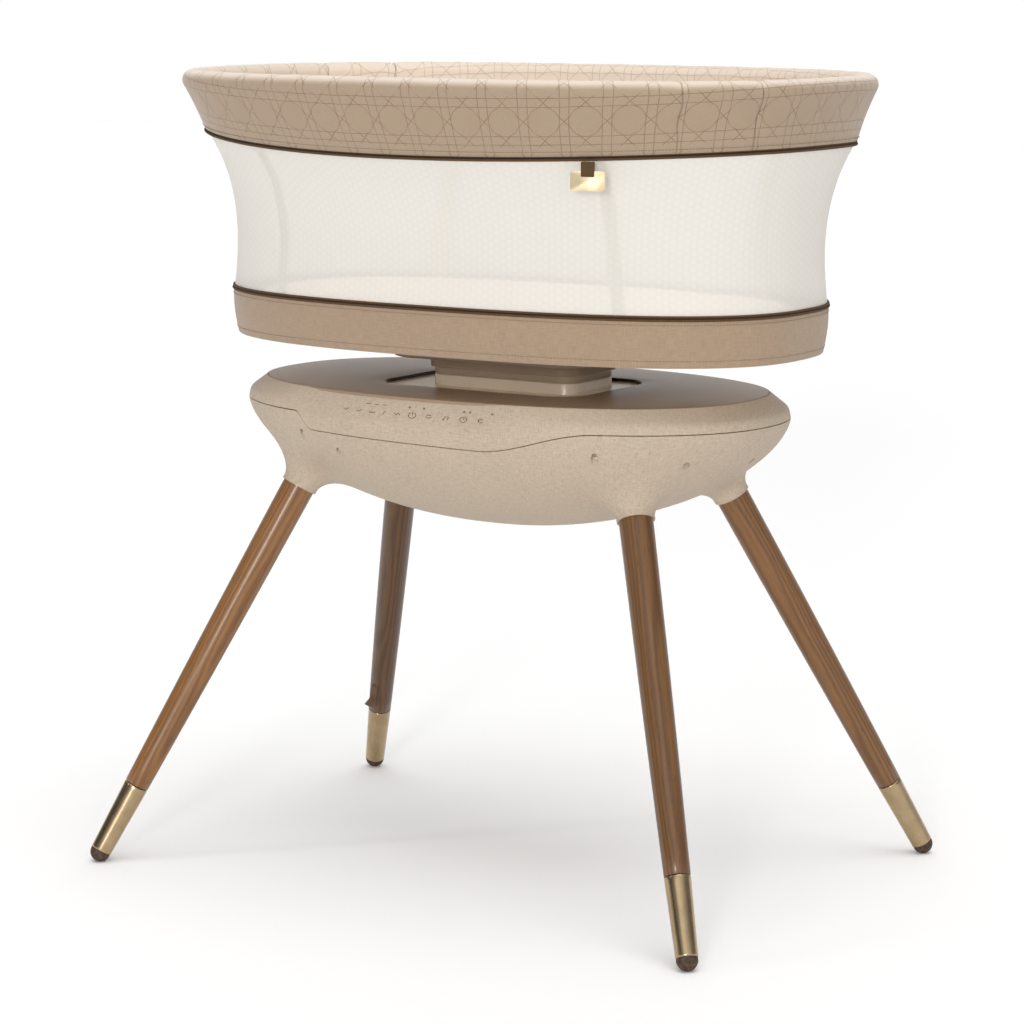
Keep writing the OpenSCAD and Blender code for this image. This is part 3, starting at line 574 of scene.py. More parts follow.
def at_height(outline, z, centre=(0.0, 0.0)):
    """An outline of (x, y) points lifted to height z, which is a number or one for each point."""
    return np.column_stack([outline[:, 0] + centre[0], outline[:, 1] + centre[1],
                            np.broadcast_to(z, len(outline))])


def half_size(node):
    low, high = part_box(node)
    return (high - low) / 2


def middle(node):
    low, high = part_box(node)
    return (high + low) / 2


# ---- Legs ----

CORNERS = {"front_left": (-1, -1), "front_right": (1, -1), "back_left": (-1, 1), "back_right": (1, 1)}
MOUTH = Vector((0.231, 0.108, 0.441))
BALL = Vector((0.400, 0.281, 0.0114))
LEG_LENGTH = (BALL - MOUTH).length
FERRULE_LENGTH = 0.088
FERRULE_END = LEG_LENGTH - 0.002
WOOD_END = FERRULE_END - FERRULE_LENGTH
TOP_R, LOW_R, TIP_R = 0.01925, 0.0145, 0.01225
FOOT_R = 0.0119
# Painted light and shade: each leg's wood tone is made lighter or darker for how the light falls on it.
WOOD_PAINTED_LIGHT = {"front_left": 1.30, "front_right": 1.04, "back_left": 0.87, "back_right": 1.14}


def leg_axes(side):
    """The socket mouth, the unit direction down the leg, and two directions across it."""
    sign = Vector((*side, 1))
    down = (BALL * sign - MOUTH * sign).normalized()
    across = down.cross(Vector((0, 0, 1))).normalized()
    return [np.array(v) for v in (MOUTH * sign, down, across, down.cross(across))]


def circle(centre, radius, across, other, turn):
    return centre + radius * (np.outer(np.cos(turn), across) + np.outer(np.sin(turn), other))


def lathe(name, profile, side, material, node, twist=0.0):
    """Turns a profile of (distance down the leg, radius) about a leg's axis. Zero radii close it."""
    mouth, down, across, other = leg_axes(side)
    turn = turns(56)
    rings, local = [], []
    for t, r in profile:
        r = max(r, 1e-5)
        rings.append(circle(mouth + down * t, r, across, other, turn))
        local.append(np.column_stack([r * np.cos(turn + twist) + 0.05 * twist,
                                      r * np.sin(turn + twist), np.full(len(turn), t + 0.7 * twist)]))
    return add_solid(name, rings, local, "stand", material, node)


def wood_profile():
    """The turned wood, with a slight swell, down to where the metal tip begins."""
    steps = [(-0.024, 0.0), (-0.024, 0.0152), (-0.001, 0.0154), (0.0, TOP_R)]
    for share in np.linspace(0.04, 1, 20):
        swell = 0.0006 * math.sin(math.pi * share)
        steps.append((share * (WOOD_END - 0.0012), between(TOP_R, LOW_R, share) + swell))
    return steps + [(WOOD_END - 0.0004, LOW_R - 0.0006), (WOOD_END - 0.0004, 0.0)]


def tip_profile():
    start = WOOD_END + 0.0004
    steps = [(start, 0.0), (start, LOW_R - 0.0007), (start + 0.0005, LOW_R - 0.0002),
             (start + 0.0012, LOW_R)]
    steps += [(start + share * FERRULE_LENGTH, between(LOW_R, TIP_R, share))
              for share in np.linspace(0.05, 0.97, 12)]
    return steps + [(FERRULE_END - 0.0006, TIP_R), (FERRULE_END - 0.0001, TIP_R - 0.0006),
                    (FERRULE_END - 0.0001, 0.0)]


def make_legs(brass, black_rubber):
    for k, (corner, side) in enumerate(CORNERS.items()):
        wood = walnut("walnut_" + corner, WOOD_PAINTED_LIGHT[corner])
        sharpen(lathe("wood_leg_" + corner, wood_profile(), side, wood, "leg_" + corner,
                      1.7 * k + 0.4))
        sharpen(lathe("brass_tip_" + corner, tip_profile(), side, brass,
                      "ferrule_" + corner), 60)
        make_foot(corner, side, black_rubber)


def make_foot(corner, side, black_rubber):
    """Rubber dome in the end of a metal tip, worn flat where it stands."""
    _, down, across, other = leg_axes(side)
    ball = np.array(BALL) * (*side, 1)
    rings = []
    for tilt in np.radians(np.linspace(100, 1, 14)):
        centre = ball + down * FOOT_R * math.cos(tilt)
        rings.append(circle(centre, FOOT_R * math.sin(tilt), across, other, turns(48)))
    plug = ball - 0.006 * down + 0.75 * (rings[0] - rings[0].mean(axis=0))
    rings = np.array([plug] + rings)
    rings[:, :, 2] = np.maximum(rings[:, :, 2], 0.0)
    add_solid("rubber_foot_" + corner, rings, rings, "stand", black_rubber, "foot_" + corner)


# ---- Pod shells: one smooth surface, cut along the parting line ----

POD_N, DECK_N = 2.26, 2.33
BOWL_DEPTH, BOWL_POWER = 0.137, 1.6
SOCKET_R, SOCKET_FLARE, SOCKET_HEIGHT, SOCKET_FILLET = 0.0209, 0.025, 0.078, 0.038
SHELL_WALL = 0.003
PART_GAP = 0.0011
UV_RADIUS = 0.28
deck_half = half_size("deck")
deck_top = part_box("deck")[1].z
pod_half = half_size("lower_shell")
part_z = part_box("lower_shell")[1].z
RIDGE_Z = part_z + 0.0105
RIDGE_IN = 0.002
TOP_SLOPE = 0.56
SCREWS = [(-0.176, -0.172), (-0.122, -0.176), (0.209, -0.160), (0.287, -0.096), (0.314, 0.003),
          (0.209, 0.160), (-0.209, 0.160), (-0.314, -0.003)]
SCREW_R = 0.0043
OPENING = (0.135, 0.091, 0.038)


def smooth(share):
    share = np.clip(share, 0, 1)
    return share * share * (3 - 2 * share)


def share_of(x, y, a, b, n):
    return (np.abs(x / a) ** n + np.abs(y / b) ** n) ** (1 / n)


def soft_min(a, b, reach):
    near = np.maximum(reach - np.abs(a - b), 0) / reach
    return np.minimum(a, b) - near ** 3 * reach / 6


def parting(x, y):
    """Height of the line between the shells: level, but for the lobe that carries the touch panel."""
    lobe = smooth((x + 0.184) / 0.026) * (1 - smooth((x - 0.075) / 0.138))
    return part_z - (0.0237 + 0.02 * x) * lobe * (y < 0)


def ridge_round(x, y):
    """How softly the ridge above the parting line is rounded: most above the touch panel."""
    over_panel = smooth((x + 0.235) / 0.10) * (1 - smooth((x - 0.03) / 0.17)) * (y < 0)
    return 0.0045 + 0.040 * over_panel


def pod_body(p):
    """The pod without its leg sockets: a bowl, a low wall above it and the slope up to the deck."""
    x, y, z = p[:, 0], p[:, 1], p[:, 2]
    s = share_of(x, y, pod_half.x, pod_half.y, POD_N) + 1e-6
    reach = np.maximum(np.hypot(x, y), 1e-4) / s
    down = np.maximum(part_z - z, 0) / BOWL_DEPTH
    value = s ** 2 + down ** BOWL_POWER - 1
    slope = np.hypot(2 * s / reach, BOWL_POWER * down ** (BOWL_POWER - 1) / BOWL_DEPTH)
    bowl = value / np.maximum(slope, 1.5)
    wall = (s - 1) * reach + (z - part_z) * RIDGE_IN / (RIDGE_Z - part_z)
    side = np.where(z < part_z, bowl, wall)
    up = (z - RIDGE_Z) / (deck_top - RIDGE_Z)
    a, b = [between(pod_half[k] - RIDGE_IN, deck_half[k], up) for k in (0, 1)]
    s_top = share_of(x, y, a, b, between(POD_N, DECK_N, np.clip(up, -1, 1))) + 1e-6
    top = (s_top - 1) * np.maximum(np.hypot(x, y), 1e-4) / s_top * TOP_SLOPE
    return -soft_min(-side, -top, ridge_round(x, y))


def pod_field(p):
    """Near enough the signed distance from the pod's outer surface, negative inside."""
    body = pod_body(p)
    for sign in CORNERS.values():
        mouth, down_leg, _, _ = leg_axes(sign)
        q = p - mouth
        up_leg = -(q @ down_leg)
        r = np.linalg.norm(q + np.outer(up_leg, down_leg), axis=1)
        flare = SOCKET_R + SOCKET_FLARE * smooth((up_leg - 0.003) / 0.052)
        lip = 0.0005 * smooth(1 - up_leg / 0.005)
        socket = np.maximum(r - flare - lip, up_leg - SOCKET_HEIGHT)
        body = soft_min(body, socket, SOCKET_FILLET)
    return body


def gradient(p, step=0.0002):
    """How fast the pod's field grows along each axis."""
    return np.stack([pod_field(p + d) - pod_field(p - d) for d in np.eye(3) * step], 1) / (2 * step)


def onto_pod(p, rounds=3):
    """Moves points near the pod's surface onto it."""
    for _ in range(rounds):
        grad = gradient(p)
        size = np.maximum((grad ** 2).sum(1), 0.05)
        p = p - grad * (pod_field(p) / size)[:, None]
    return p


def find_surface(place, outside, inside, rounds=40):
    """The value between outside and inside at which place(value) lies on the pod's surface."""
    for _ in range(rounds):
        half_way = (outside + inside) / 2
        within = pod_field(place(half_way)) < 0
        outside, inside = np.where(within, outside, half_way), np.where(within, half_way, inside)
    return outside


def cell_points(value):
    """One point in each cell that the zero level crosses, counted in cells, and the cells' numbers."""
    cells = tuple(n - 1 for n in value.shape)
    total, hits = np.zeros((*cells, 3)), np.zeros(cells)
    span = (slice(0, -1), slice(1, None))
    for axis in range(3):
        for corner in ((0, 0), (0, 1), (1, 0), (1, 1)):
            offset = list(corner)
            offset.insert(axis, 0)
            begin = [span[k] for k in offset]
            end = list(begin)
            end[axis] = span[1]
            va, vb = value[tuple(begin)], value[tuple(end)]
            crossing = (va < 0) != (vb < 0)
            offset[axis] = np.where(crossing, va / np.where(crossing, va - vb, 1), 0)
            for k in range(3):
                total[..., k] += crossing * offset[k]
            hits += crossing
    active = hits > 0
    numbers = np.full(cells, -1)
    numbers[active] = np.arange(active.sum())
    return np.stack(np.nonzero(active), -1) + total[active] / hits[active][:, None], numbers


def net_triangles(inside, numbers):
    """Joins the points of the four cells round each grid edge that the surface crosses."""
    quads = []
    for axis in range(3):
        start = [slice(1, -1)] * 3
        start[axis] = slice(0, -1)
        end = list(start)
        end[axis] = slice(1, None)
        here, there = inside[tuple(start)], inside[tuple(end)]
        for flip, crossed in ((False, here & ~there), (True, ~here & there)):
            found = np.stack(np.nonzero(crossed), -1)
            ring = []
            for corner in ((0, 0), (1, 0), (1, 1), (0, 1)):
                shift = list(corner)
                shift.insert(axis, 0)
                ring.append(numbers[tuple((found + shift).T)])
            ring = np.stack(ring, -1)
            quads.append(ring[:, ::-1] if flip != (axis == 1) else ring)
    quads = np.vstack(quads)
    quads = quads[(quads >= 0).all(1)]
    return np.vstack([quads[:, [0, 1, 2]], quads[:, [0, 2, 3]]])


def net_surface(field, low, high, step):
    """Surface nets over the box from low to high: the zero level of field as points and triangles."""
    axes = [np.arange(a, b + step, step) for a, b in zip(low, high)]
    grid = np.stack(np.meshgrid(*axes, indexing="ij"), -1)
    value = np.concatenate([field(part) for part in np.array_split(grid.reshape(-1, 3), 12)])
    value = value.reshape(grid.shape[:3])
    points, numbers = cell_points(value)
    return np.array(low) + step * points, net_triangles(value < 0, numbers)


def cut(points, tris, level):
    """Keeps the part of the surface where level is positive, splitting triangles along its zero line."""
    value = level(points)
    value = np.where(np.abs(value) < 1e-7, 1e-7, value)
    up = value > 0
    corner_up = up[tris]
    kept = tris[corner_up.all(1)]
    crossed = tris[corner_up.any(1) & ~corner_up.all(1)]
    crossed_up = up[crossed]
    lone = np.where(crossed_up.sum(1) == 1, np.argmax(crossed_up, 1), np.argmin(crossed_up, 1))
    turned = np.take_along_axis(crossed, (lone[:, None] + np.arange(3)) % 3, 1)
    pairs = np.vstack([turned[:, [0, 1]], turned[:, [0, 2]]])
    ends, index = np.unique(np.sort(pairs, 1), axis=0, return_inverse=True)
    first, second = ends.T
    share = value[first] / (value[first] - value[second])
    made = between(points[first], points[second], share[:, None])
    e1, e2 = np.split(index.ravel() + len(points), 2)
    lone_up = up[turned[:, 0]]
    tip = np.column_stack([turned[:, 0], e1, e2])[lone_up]
    rest_a = np.column_stack([e1, turned[:, 1], turned[:, 2]])[~lone_up]
    rest_b = np.column_stack([e1, turned[:, 2], e2])[~lone_up]
    used, tris = np.unique(np.vstack([kept, tip, rest_a, rest_b]), return_inverse=True)
    return np.vstack([points, made])[used], tris.reshape(-1, 3)


def pod_uv(p):
    """Coordinates that run round the pod and down it, and sag round the leg sockets."""
    turn = np.arctan2(p[:, 1] / pod_half.y, p[:, 0] / pod_half.x)
    s = share_of(p[:, 0], p[:, 1], pod_half.x, pod_half.y, POD_N)
    below = part_z - p[:, 2]
    v = np.hypot(np.maximum(1 - s, 0) * 0.27, below) * np.sign(below + 1e-9)
    for sign in CORNERS.values():
        mouth = leg_axes(sign)[0]
        away = np.hypot(p[:, 0] - mouth[0], p[:, 1] - mouth[1])
        v = v - 0.045 * np.exp(-(away / 0.055) ** 2)
    return np.column_stack([turn * UV_RADIUS, -v])


def border_of(tris):
    """Edges that only one triangle has."""
    edges = np.vstack([tris[:, [0, 1]], tris[:, [1, 2]], tris[:, [2, 0]]])
    _, index, counts = np.unique(np.sort(edges, 1), axis=0, return_inverse=True, return_counts=True)
    return edges[counts[index.ravel()] == 1]


def unwrapped(uv, sizes):
    """Coordinates of face corners with the faces across the seam of the way round put together."""
    first = np.concatenate([[0], np.cumsum(sizes)[:-1]])
    highest = np.maximum.reduceat(uv[:, 0], first)
    wrapped = np.repeat(highest > UV_RADIUS * math.pi * 0.8, sizes) & (uv[:, 0] < 0)
    uv[wrapped, 0] += 2 * math.pi * UV_RADIUS
    return uv


def add_shell(name, outer, tris, node, linen):
    """Gives the outer surface a wall, closed along its edges."""
    normal = unit(gradient(outer))
    count = len(outer)
    points = np.vstack([outer, outer - SHELL_WALL * normal])
    border = border_of(tris)
    back = tris[:, ::-1]
    walls = np.column_stack([border[:, ::-1], border + count])
    faces = tris.tolist() + (back + count).tolist() + walls.tolist()
    corners = np.concatenate([tris.ravel(), (back + count).ravel(), walls.ravel()])
    uv = unwrapped(pod_uv(points)[corners], np.repeat([3, 4], [2 * len(tris), len(walls)]))
    a, b, c = (points[walls[:, k]] for k in (0, 1, 2))
    flat_normal = np.repeat(unit(np.cross(b - a, c - a)), 4, axis=0)
    normals = np.vstack([normal[tris.ravel()], -normal[back.ravel()], flat_normal])
    add_mesh(name, points, faces, "stand", linen, [node], uv, normals=normals)


def make_pod(linen):
    margin = 0.011
    low = (-pod_half.x - margin, -pod_half.y - margin, 0.396)
    high = (pod_half.x + margin, pod_half.y + margin, deck_top + 0.006)
    points, tris = net_surface(pod_field, low, high, 0.0038)
    points, tris = cut(onto_pod(points), tris, lambda p: deck_top - 0.0004 - p[:, 2])
    for sign in CORNERS.values():
        mouth, down, _, _ = leg_axes(sign)
        points, tris = cut(points, tris, lambda p: np.where(
            np.linalg.norm(p - mouth, axis=1) < 0.09, (mouth - p) @ down, 1.0))
    gap = PART_GAP / 2
    upper = cut(points, tris, lambda p: p[:, 2] - parting(p[:, 0], p[:, 1]) - gap)
    lower = cut(points, tris, lambda p: parting(p[:, 0], p[:, 1]) - gap - p[:, 2])
    for x, y in SCREWS:
        lower = cut(*lower, lambda p: np.where(p[:, 2] < part_z, np.hypot(p[:, 0] - x, p[:, 1] - y), 1.0)
                    - SCREW_R)
    add_shell("pod_bowl", *lower, "lower_shell", linen)
    add_shell("pod_collar", *upper, "upper_shell", linen)
    make_wells(linen)


def under_pod(x, y):
    """Height of the bowl's underside at each place."""
    below, above = np.full(len(x), 0.38), np.full(len(x), part_z)
    return find_surface(lambda z: np.column_stack([x, y, z]), below, above)


def make_wells(linen):
    """Short closed tubes that the screws of the lower shell sit in."""
    count = 28
    turn = turns(count)
    points, faces = [], []
    for x, y in SCREWS:
        rims = []
        for r in (SCREW_R, SCREW_R + 0.0006):
            px, py = x + r * np.cos(turn), y + r * np.sin(turn)
            rims.append(np.column_stack([px, py, under_pod(px, py) + 0.0003]))
        top = rims[0][:, 2].max() + 0.0030
        roof = [rim * (1, 1, 0) + (0, 0, top + lift) for rim, lift in zip(rims, (0, 0.0006))]
        faces += [[len(points) + i for i in face] for face in solid_faces(4, count)]
        points += np.vstack([roof[0], *rims, roof[1]]).tolist()
    piece = add_mesh("screw_wells", points, faces, "stand", linen,
                     uv=[points[i][:2] for f in faces for i in f])
    sharpen(piece)


def make_deck(taupe):
    """Top plate with soft edges and a rounded opening."""
    count = 320
    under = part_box("deck")[0].z
    outer = oval(deck_half.x, deck_half.y, DECK_N, count)
    inner = rounded_box(*OPENING, count)
    rings = []
    for inset, z in ((1.6, under), (0.9, under), (0.8, deck_top - 0.6 * MM), (0.9, deck_top - 0.3 * MM),
                     (1.2, deck_top - 0.08 * MM), (1.8, deck_top)):
        rings.append(at_height(oval(deck_half.x - inset * MM, deck_half.y - inset * MM, DECK_N, count), z))
    for share in (0.25, 0.5, 0.75):
        rings.append(at_height(outer * (1 - share) + inner * share, deck_top))
    for grow, z in ((2.4, deck_top), (1.2, deck_top - 0.25 * MM), (0.4, deck_top - 0.8 * MM),
                    (0.0, deck_top - 1.6 * MM), (0.0, under)):
        rings.append(at_height(rounded_box(*(size + grow * MM for size in OPENING), count), z))
    local = np.zeros((len(rings), count, 3))
    # Painted shade: the wall down into the opening takes the deck's dark shaded tone, standing in for the
    # shadow in it.
    local[-4:, :, 0] = 1.0
    sharpen(add_skin("deck_plate", rings, "stand", taupe, True, ["deck"], local=local), 50)


# ---- Touch panel symbols ----

def on_panel(x, up, centre_z):
    """Points on the front slope: x along it, up the distance above centre_z along the slope."""
    z = centre_z + 0.62 * up
    in_front, behind = np.full(len(x), -0.23), np.full(len(x), -0.12)
    y = find_surface(lambda y: np.column_stack([x, y, z]), in_front, behind)
    return np.column_stack([x, y, z])


def arc(cx, cy, r, start, end, steps=14):
    turn = np.radians(np.linspace(start, end, steps))
    return [(cx + r * math.cos(t), cy + r * math.sin(t)) for t in turn]


def ribbon(line, width):
    """Left and right edge points of a stroke."""
    line = np.array(line, float)
    along = unit(np.gradient(line, axis=0))
    side = np.column_stack([-along[:, 1], along[:, 0]]) * width / 2
    return line + side, line - side


def panel_symbols():
    """Each symbol's x in millimetres, its height in the frame, and its strokes round its own centre."""
    wave = [(t, 1.1 * math.sin(t * 1.6)) for t in np.linspace(-3, 3, 13)]
    loop = arc(0, 0, 2.1, 40, 330)
    bars = [[(-2.4, -1.2), (-2.4, 1.4)], [(0, -1.2), (0, 1.4)], [(2.4, -1.2), (2.4, 1.4)]]
    tick = [(-2.6, 0.6), (-0.6, -1.4), (2.6, 1.4)]
    ripple = [arc(-1.4, 0, 1.3, 180, 360), arc(1.4, 0, 1.3, 180, 360)]
    power = [arc(0, 0, 3.4, 118, 422, 26), [(0, 0.6), (0, 4.2)]]
    clock = [arc(0, 0, 3.1, 0, 360, 26), [(0, 2.0), (0, 0), (1.6, 0)]]
    swing = [arc(-0.6, 1.6, 3.2, 215, 325), [(-2.4, 1.4), (-0.6, 1.8), (1.6, 1.4)]]
    note = [[(-1.6, -1.8), (-1.0, 1.6), (2.2, 1.6), (1.6, -1.8)], arc(-2.0, -1.8, 0.6, 0, 360, 9)]
    main = [(-97.5, [tick]), (-78, [tick]), (-59, ripple), (-42, [[(0.9, 2.0), (-0.9, -2.0)]]),
            (-23.6, [wave]), (-3, power), (20, swing), (42, note), (65, clock), (88, [loop] + bars[:1])]
    above = [(x, [[(-1.9, 0), (1.9, 0)]]) for x in (-67, -55.4, -44)]
    above += [(x, [arc(0, 0, 0.8, 0, 360, 9)]) for x in (-9.1, 10.4, 63.5, 71.5, 100)]
    return [(x - 6.5, height, s) for row, height in ((main, 0.5505), (above, 0.5585)) for x, s in row]


def make_symbols(ink):
    """The panel's printed symbols, as thin strokes that lie half in its surface."""
    points, faces, half_thick = [], [], 0.30 * MM
    for x, z, strokes in panel_symbols():
        for stroke in strokes:
            left, right = (edge * MM for edge in ribbon(np.array(stroke) * 1.45, 0.85))
            edges = np.vstack([left, right])
            ground = on_panel(edges[:, 0] + x * MM, edges[:, 1], z)
            lift = half_thick * unit(gradient(ground))
            faces += [[len(points) + i for i in face] for face in stroke_faces(len(left))]
            points += (ground + lift).tolist() + (ground - lift).tolist()
    sharpen(add_mesh("panel_symbols", points, faces, "stand", ink), 30)


def stroke_faces(count):
    """Faces of one stroke: its left and right edge on top, then the same below, count points each."""
    under = 2 * count
    faces = []
    for l0 in range(count - 1):
        l1, r0, r1 = l0 + 1, l0 + count, l0 + count + 1
        faces += [(l0, r0, r1, l1), (l0 + under, l1 + under, r1 + under, r0 + under),
                  (l0, l1, l1 + under, l0 + under), (r1, r0, r0 + under, r1 + under)]
    for end, step in ((0, 1), (count - 1, -1)):
        faces.append([end, end + under, end + under + count, end + count][::step])
    return faces


# ---- Post and dock ----

rest = middle("tray_board")
REST = (rest.x, rest.y)


def block(name, node, half, corner, steps, material):
    """A rounded block made of (grow, height) steps, closed top and bottom."""
    rings = [at_height(rounded_box(half[0] + grow, half[1] + grow, corner + grow, 192), z, REST)
             for grow, z in steps]
    sharpen(add_skin(name, rings, "cradle", material, False, [node], caps=True), 35)


def make_post(taupe, head_taupe, dark_taupe):
    low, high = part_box("post_lower")
    seam = high.z
    half = (0.098, 0.051)
    # Painted light: the foot's plastic is a lighter copy of the head's taupe.
    block("post_foot", "post_lower", half, 0.020, [
        (-0.0006, low.z), (0.0, low.z + 0.0006), (0.0, seam - 0.0018), (-0.0004, seam - 0.0011),
        (-0.0014, seam - 0.0006)], taupe)
    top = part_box("post_upper")[1].z
    block("post_head", "post_upper", half, 0.020, [
        (-0.0014, seam - 0.0004), (-0.0014, seam + 0.0003), (-0.0002, seam + 0.0008), (0.0, seam + 0.0016),
        (0.0, seam + 0.0072), (0.0012, seam + 0.0078), (0.0044, seam + 0.0082), (0.005, seam + 0.0092),
        (0.005, top - 0.006), (0.0062, top - 0.003), (0.0062, top)], head_taupe)
    low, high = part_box("dock_plate")
    block("dock_flange", "dock_plate", half_size("dock_plate")[:2], 0.044, [
        (-0.0020, low.z), (-0.0006, low.z + 0.0006), (0.0, low.z + 0.0022), (0.0, high.z - 0.001),
        (-0.0008, high.z)], dark_taupe)


# ---- Bassinet ----

TRAY_N, COLLAR_N, RIM_N = 2.56, 2.58, 2.63
tray_half = half_size("lower_piping")
collar_half = half_size("upper_piping")
tray_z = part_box("tray_cover")[0].z
low_piping_z = middle("lower_piping").z
top_piping_z = middle("upper_piping").z
rim_half = half_size("rim_cover")
rim_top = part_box("rim_cover")[1].z
END_RISE = 0.0165
HEM_R = 0.0026
ROUND = 432
CANE_PITCH, CANE_RISE, CANE_PAIR = 0.0478, 0.0458, 0.0108
PRINT_ROUND = 2.268
PRINT_START, PRINT_MIDDLE = 1.7483, 0.0433
ROLL_R = 0.0122
ROLL_Z = rim_top - ROLL_R
ROLL_START = math.radians(-26)
rim_foot = (collar_half.x - 0.001, collar_half.y - 0.001)
rim_edge = (rim_half.x + 0.0016, rim_half.y)
SEAMS = (2.042, 2.133)
ALL_SEAMS = SEAMS + tuple((s + PRINT_ROUND / 2) % PRINT_ROUND for s in SEAMS)


def rise(outline, half_x):
    """The upper piping climbs towards both ends, more to the left."""
    share = outline[:, 0] / half_x
    return END_RISE * share ** 2 * (1 - 0.3 * share)


def level(a, b, n, z, rising=0.0, shares=ROUND):
    """One ring of the bassinet, at rest above the deck."""
    outline = oval(a, b, n, shares)
    return at_height(outline, z + rising * rise(outline, a), REST)


def tray_ring(inset, z):
    return level(tray_half.x - inset, tray_half.y - inset, TRAY_N, z)


def seam_shares():
    """Places round the rim, closer together by its seams so that they can be sewn tight."""
    shares = np.arange(ROUND) / ROUND
    near = np.array([0, 0.5, 1.0, 1.6, 2.4, 3.6]) * MM / PRINT_ROUND
    clear = near[-1] + 0.0005
    extra = []
    for seam in ALL_SEAMS:
        at = seam / PRINT_ROUND
        shares = shares[np.abs(shares - at) > clear]
        extra += [at + near, at - near[1:]]
    return np.sort(np.concatenate([shares] + extra))


def rim_band(shares):
    """Rings of the flared band, from the piping up to the roll. It bows in lengthwise and out across."""
    top = [e - ROLL_R + ROLL_R * math.cos(ROLL_START) for e in rim_edge]
    low_z, top_z = top_piping_z + 0.0012, ROLL_Z + ROLL_R * math.sin(ROLL_START)
    rings = []
    for share in np.linspace(0, 1, 16):
        bow = math.sin(math.pi * share)
        a = between(rim_foot[0], top[0], share) - 0.0022 * bow
        b = between(rim_foot[1], top[1], share) + 0.0013 * bow
        n, z = between(COLLAR_N, RIM_N, share), between(low_z, top_z, share)
        rings.append(level(a, b, n, z, 1 - share, shares))
    return rings


def rim_roll(shares):
    """Rings over the soft roll, and how far each counts as the inside, which takes the lining's paler tone
    with painted light from above.
    """
    rings, inside = [], []
    for turn in np.linspace(-12, 195, 17):
        angle = math.radians(turn)
        inset = ROLL_R - ROLL_R * math.cos(angle)
        z = ROLL_Z + ROLL_R * math.sin(angle)
        rings.append(level(rim_edge[0] - inset, rim_edge[1] - inset, RIM_N, z, 0, shares))
        inside.append(float(smooth((turn - 12) / 50)))
    return rings, inside


def rim_lining(shares):
    """Rings of the lining, from the roll down to the piping."""
    top = [e - 2 * ROLL_R - 0.0006 for e in rim_edge]
    low = [c - 0.007 for c in rim_foot]
    rings = []
    for share in np.linspace(0.12, 1, 12):
        swell = 0.0012 * math.sin(math.pi * share)
        a, b = [between(top[k], low[k], share) - swell for k in (0, 1)]
        z = between(ROLL_Z - 0.006, top_piping_z + 0.0022, share)
        rings.append(level(a, b, between(RIM_N, COLLAR_N, share), z, share, shares))
    return rings


def make_rim(cloth, thread):
    """Padded rim cover: a flared printed band, a soft roll and a lining in paler cloth, drawn in along its
    seams. The lining and the roll's top carry painted light from above, and the seams painted shade.
    """
    shares = seam_shares()
    band, lining = rim_band(shares), rim_lining(shares)
    roll, inside = rim_roll(shares)
    rings = sew(np.array(band + roll + lining), shares)
    local = np.zeros(rings.shape)
    local[:, :, 0] = np.array([0.0] * len(band) + inside + [1.0] * len(lining))[:, None]
    # Local y: painted shade along each seam's crease, strongest on the seam.
    for away in from_seams(shares, len(rings)):
        local[:, :, 1] += np.exp(-(away / (0.7 * MM)) ** 2)
    piece = add_skin("rim_pad", rings, "cradle", cloth, True,
                     ["rim_cover", "rim_frame"], PRINT_ROUND, shares=shares, local=local)
    shift_print(piece)
    row = level(rim_foot[0] + 0.0020, rim_foot[1] + 0.0034, COLLAR_N, top_piping_z + 0.0072, 0.91)
    add_stitches("rim_stitches", row, thread)


def from_seams(shares, rows):
    """For each seam, how far every point of every row is from it. The seams wander a little."""
    drift = 0.9 * MM * np.sin(0.62 * np.arange(rows))[:, None]
    return [(shares * PRINT_ROUND - seam)[None, :] - drift for seam in ALL_SEAMS]


def sew(rings, shares):
    """Draws the rim cover in along its seams, and lets it swell and slacken gently between them."""
    count = len(rings)
    rows = np.arange(count)[:, None]
    along = shares * PRINT_ROUND
    out = unit(rings - rings.mean(axis=0))
    depth = np.zeros((count, len(shares)))
    for away in from_seams(shares, count):
        depth += 1.8 * np.exp(-(away / (1.0 * MM)) ** 2) + 1.5 * np.exp(-(away / (10 * MM)) ** 2)
    row = turns(count)[:, None]
    soft = 0.22 * np.sin(along * 61 + 1.3 * np.sin(row)) * np.sin(2 * row + along * 17)
    soft = soft + 0.16 * np.sin(along * 143 + 2.1 * np.cos(row))
    held = smooth(np.minimum(rows, count - 1 - rows) / 3)
    puckers = 0.5 * np.sin(1.9 * rows) * np.exp(-(depth - 1.5) ** 2 * 4)
    push = (soft + puckers - depth) * held * MM
    return rings + out * push[:, :, None]


def shift_print(piece):
    """Slides the print so that a figure sits as it is cut on each panel between the seams."""
    layer = piece.data.uv_layers["cloth"]
    uv = np.zeros(len(layer.uv) * 2, np.float32)
    layer.uv.foreach_get("vector", uv)
    uv = uv.reshape(-1, 2)
    middle_u = np.repeat(uv.reshape(-1, 4, 2)[:, :, 0].mean(1), 4)
    first, second = SEAMS
    half = CANE_PITCH / 2
    start = np.where(middle_u < first, PRINT_START - 35 * CANE_PITCH,
                     np.where(middle_u < second, first + half, second + half))
    uv[:, 0] -= start
    uv[:, 1] = (uv[:, 1] - PRINT_MIDDLE) * CANE_PITCH / CANE_RISE
    layer.uv.foreach_set("vector", uv.ravel())


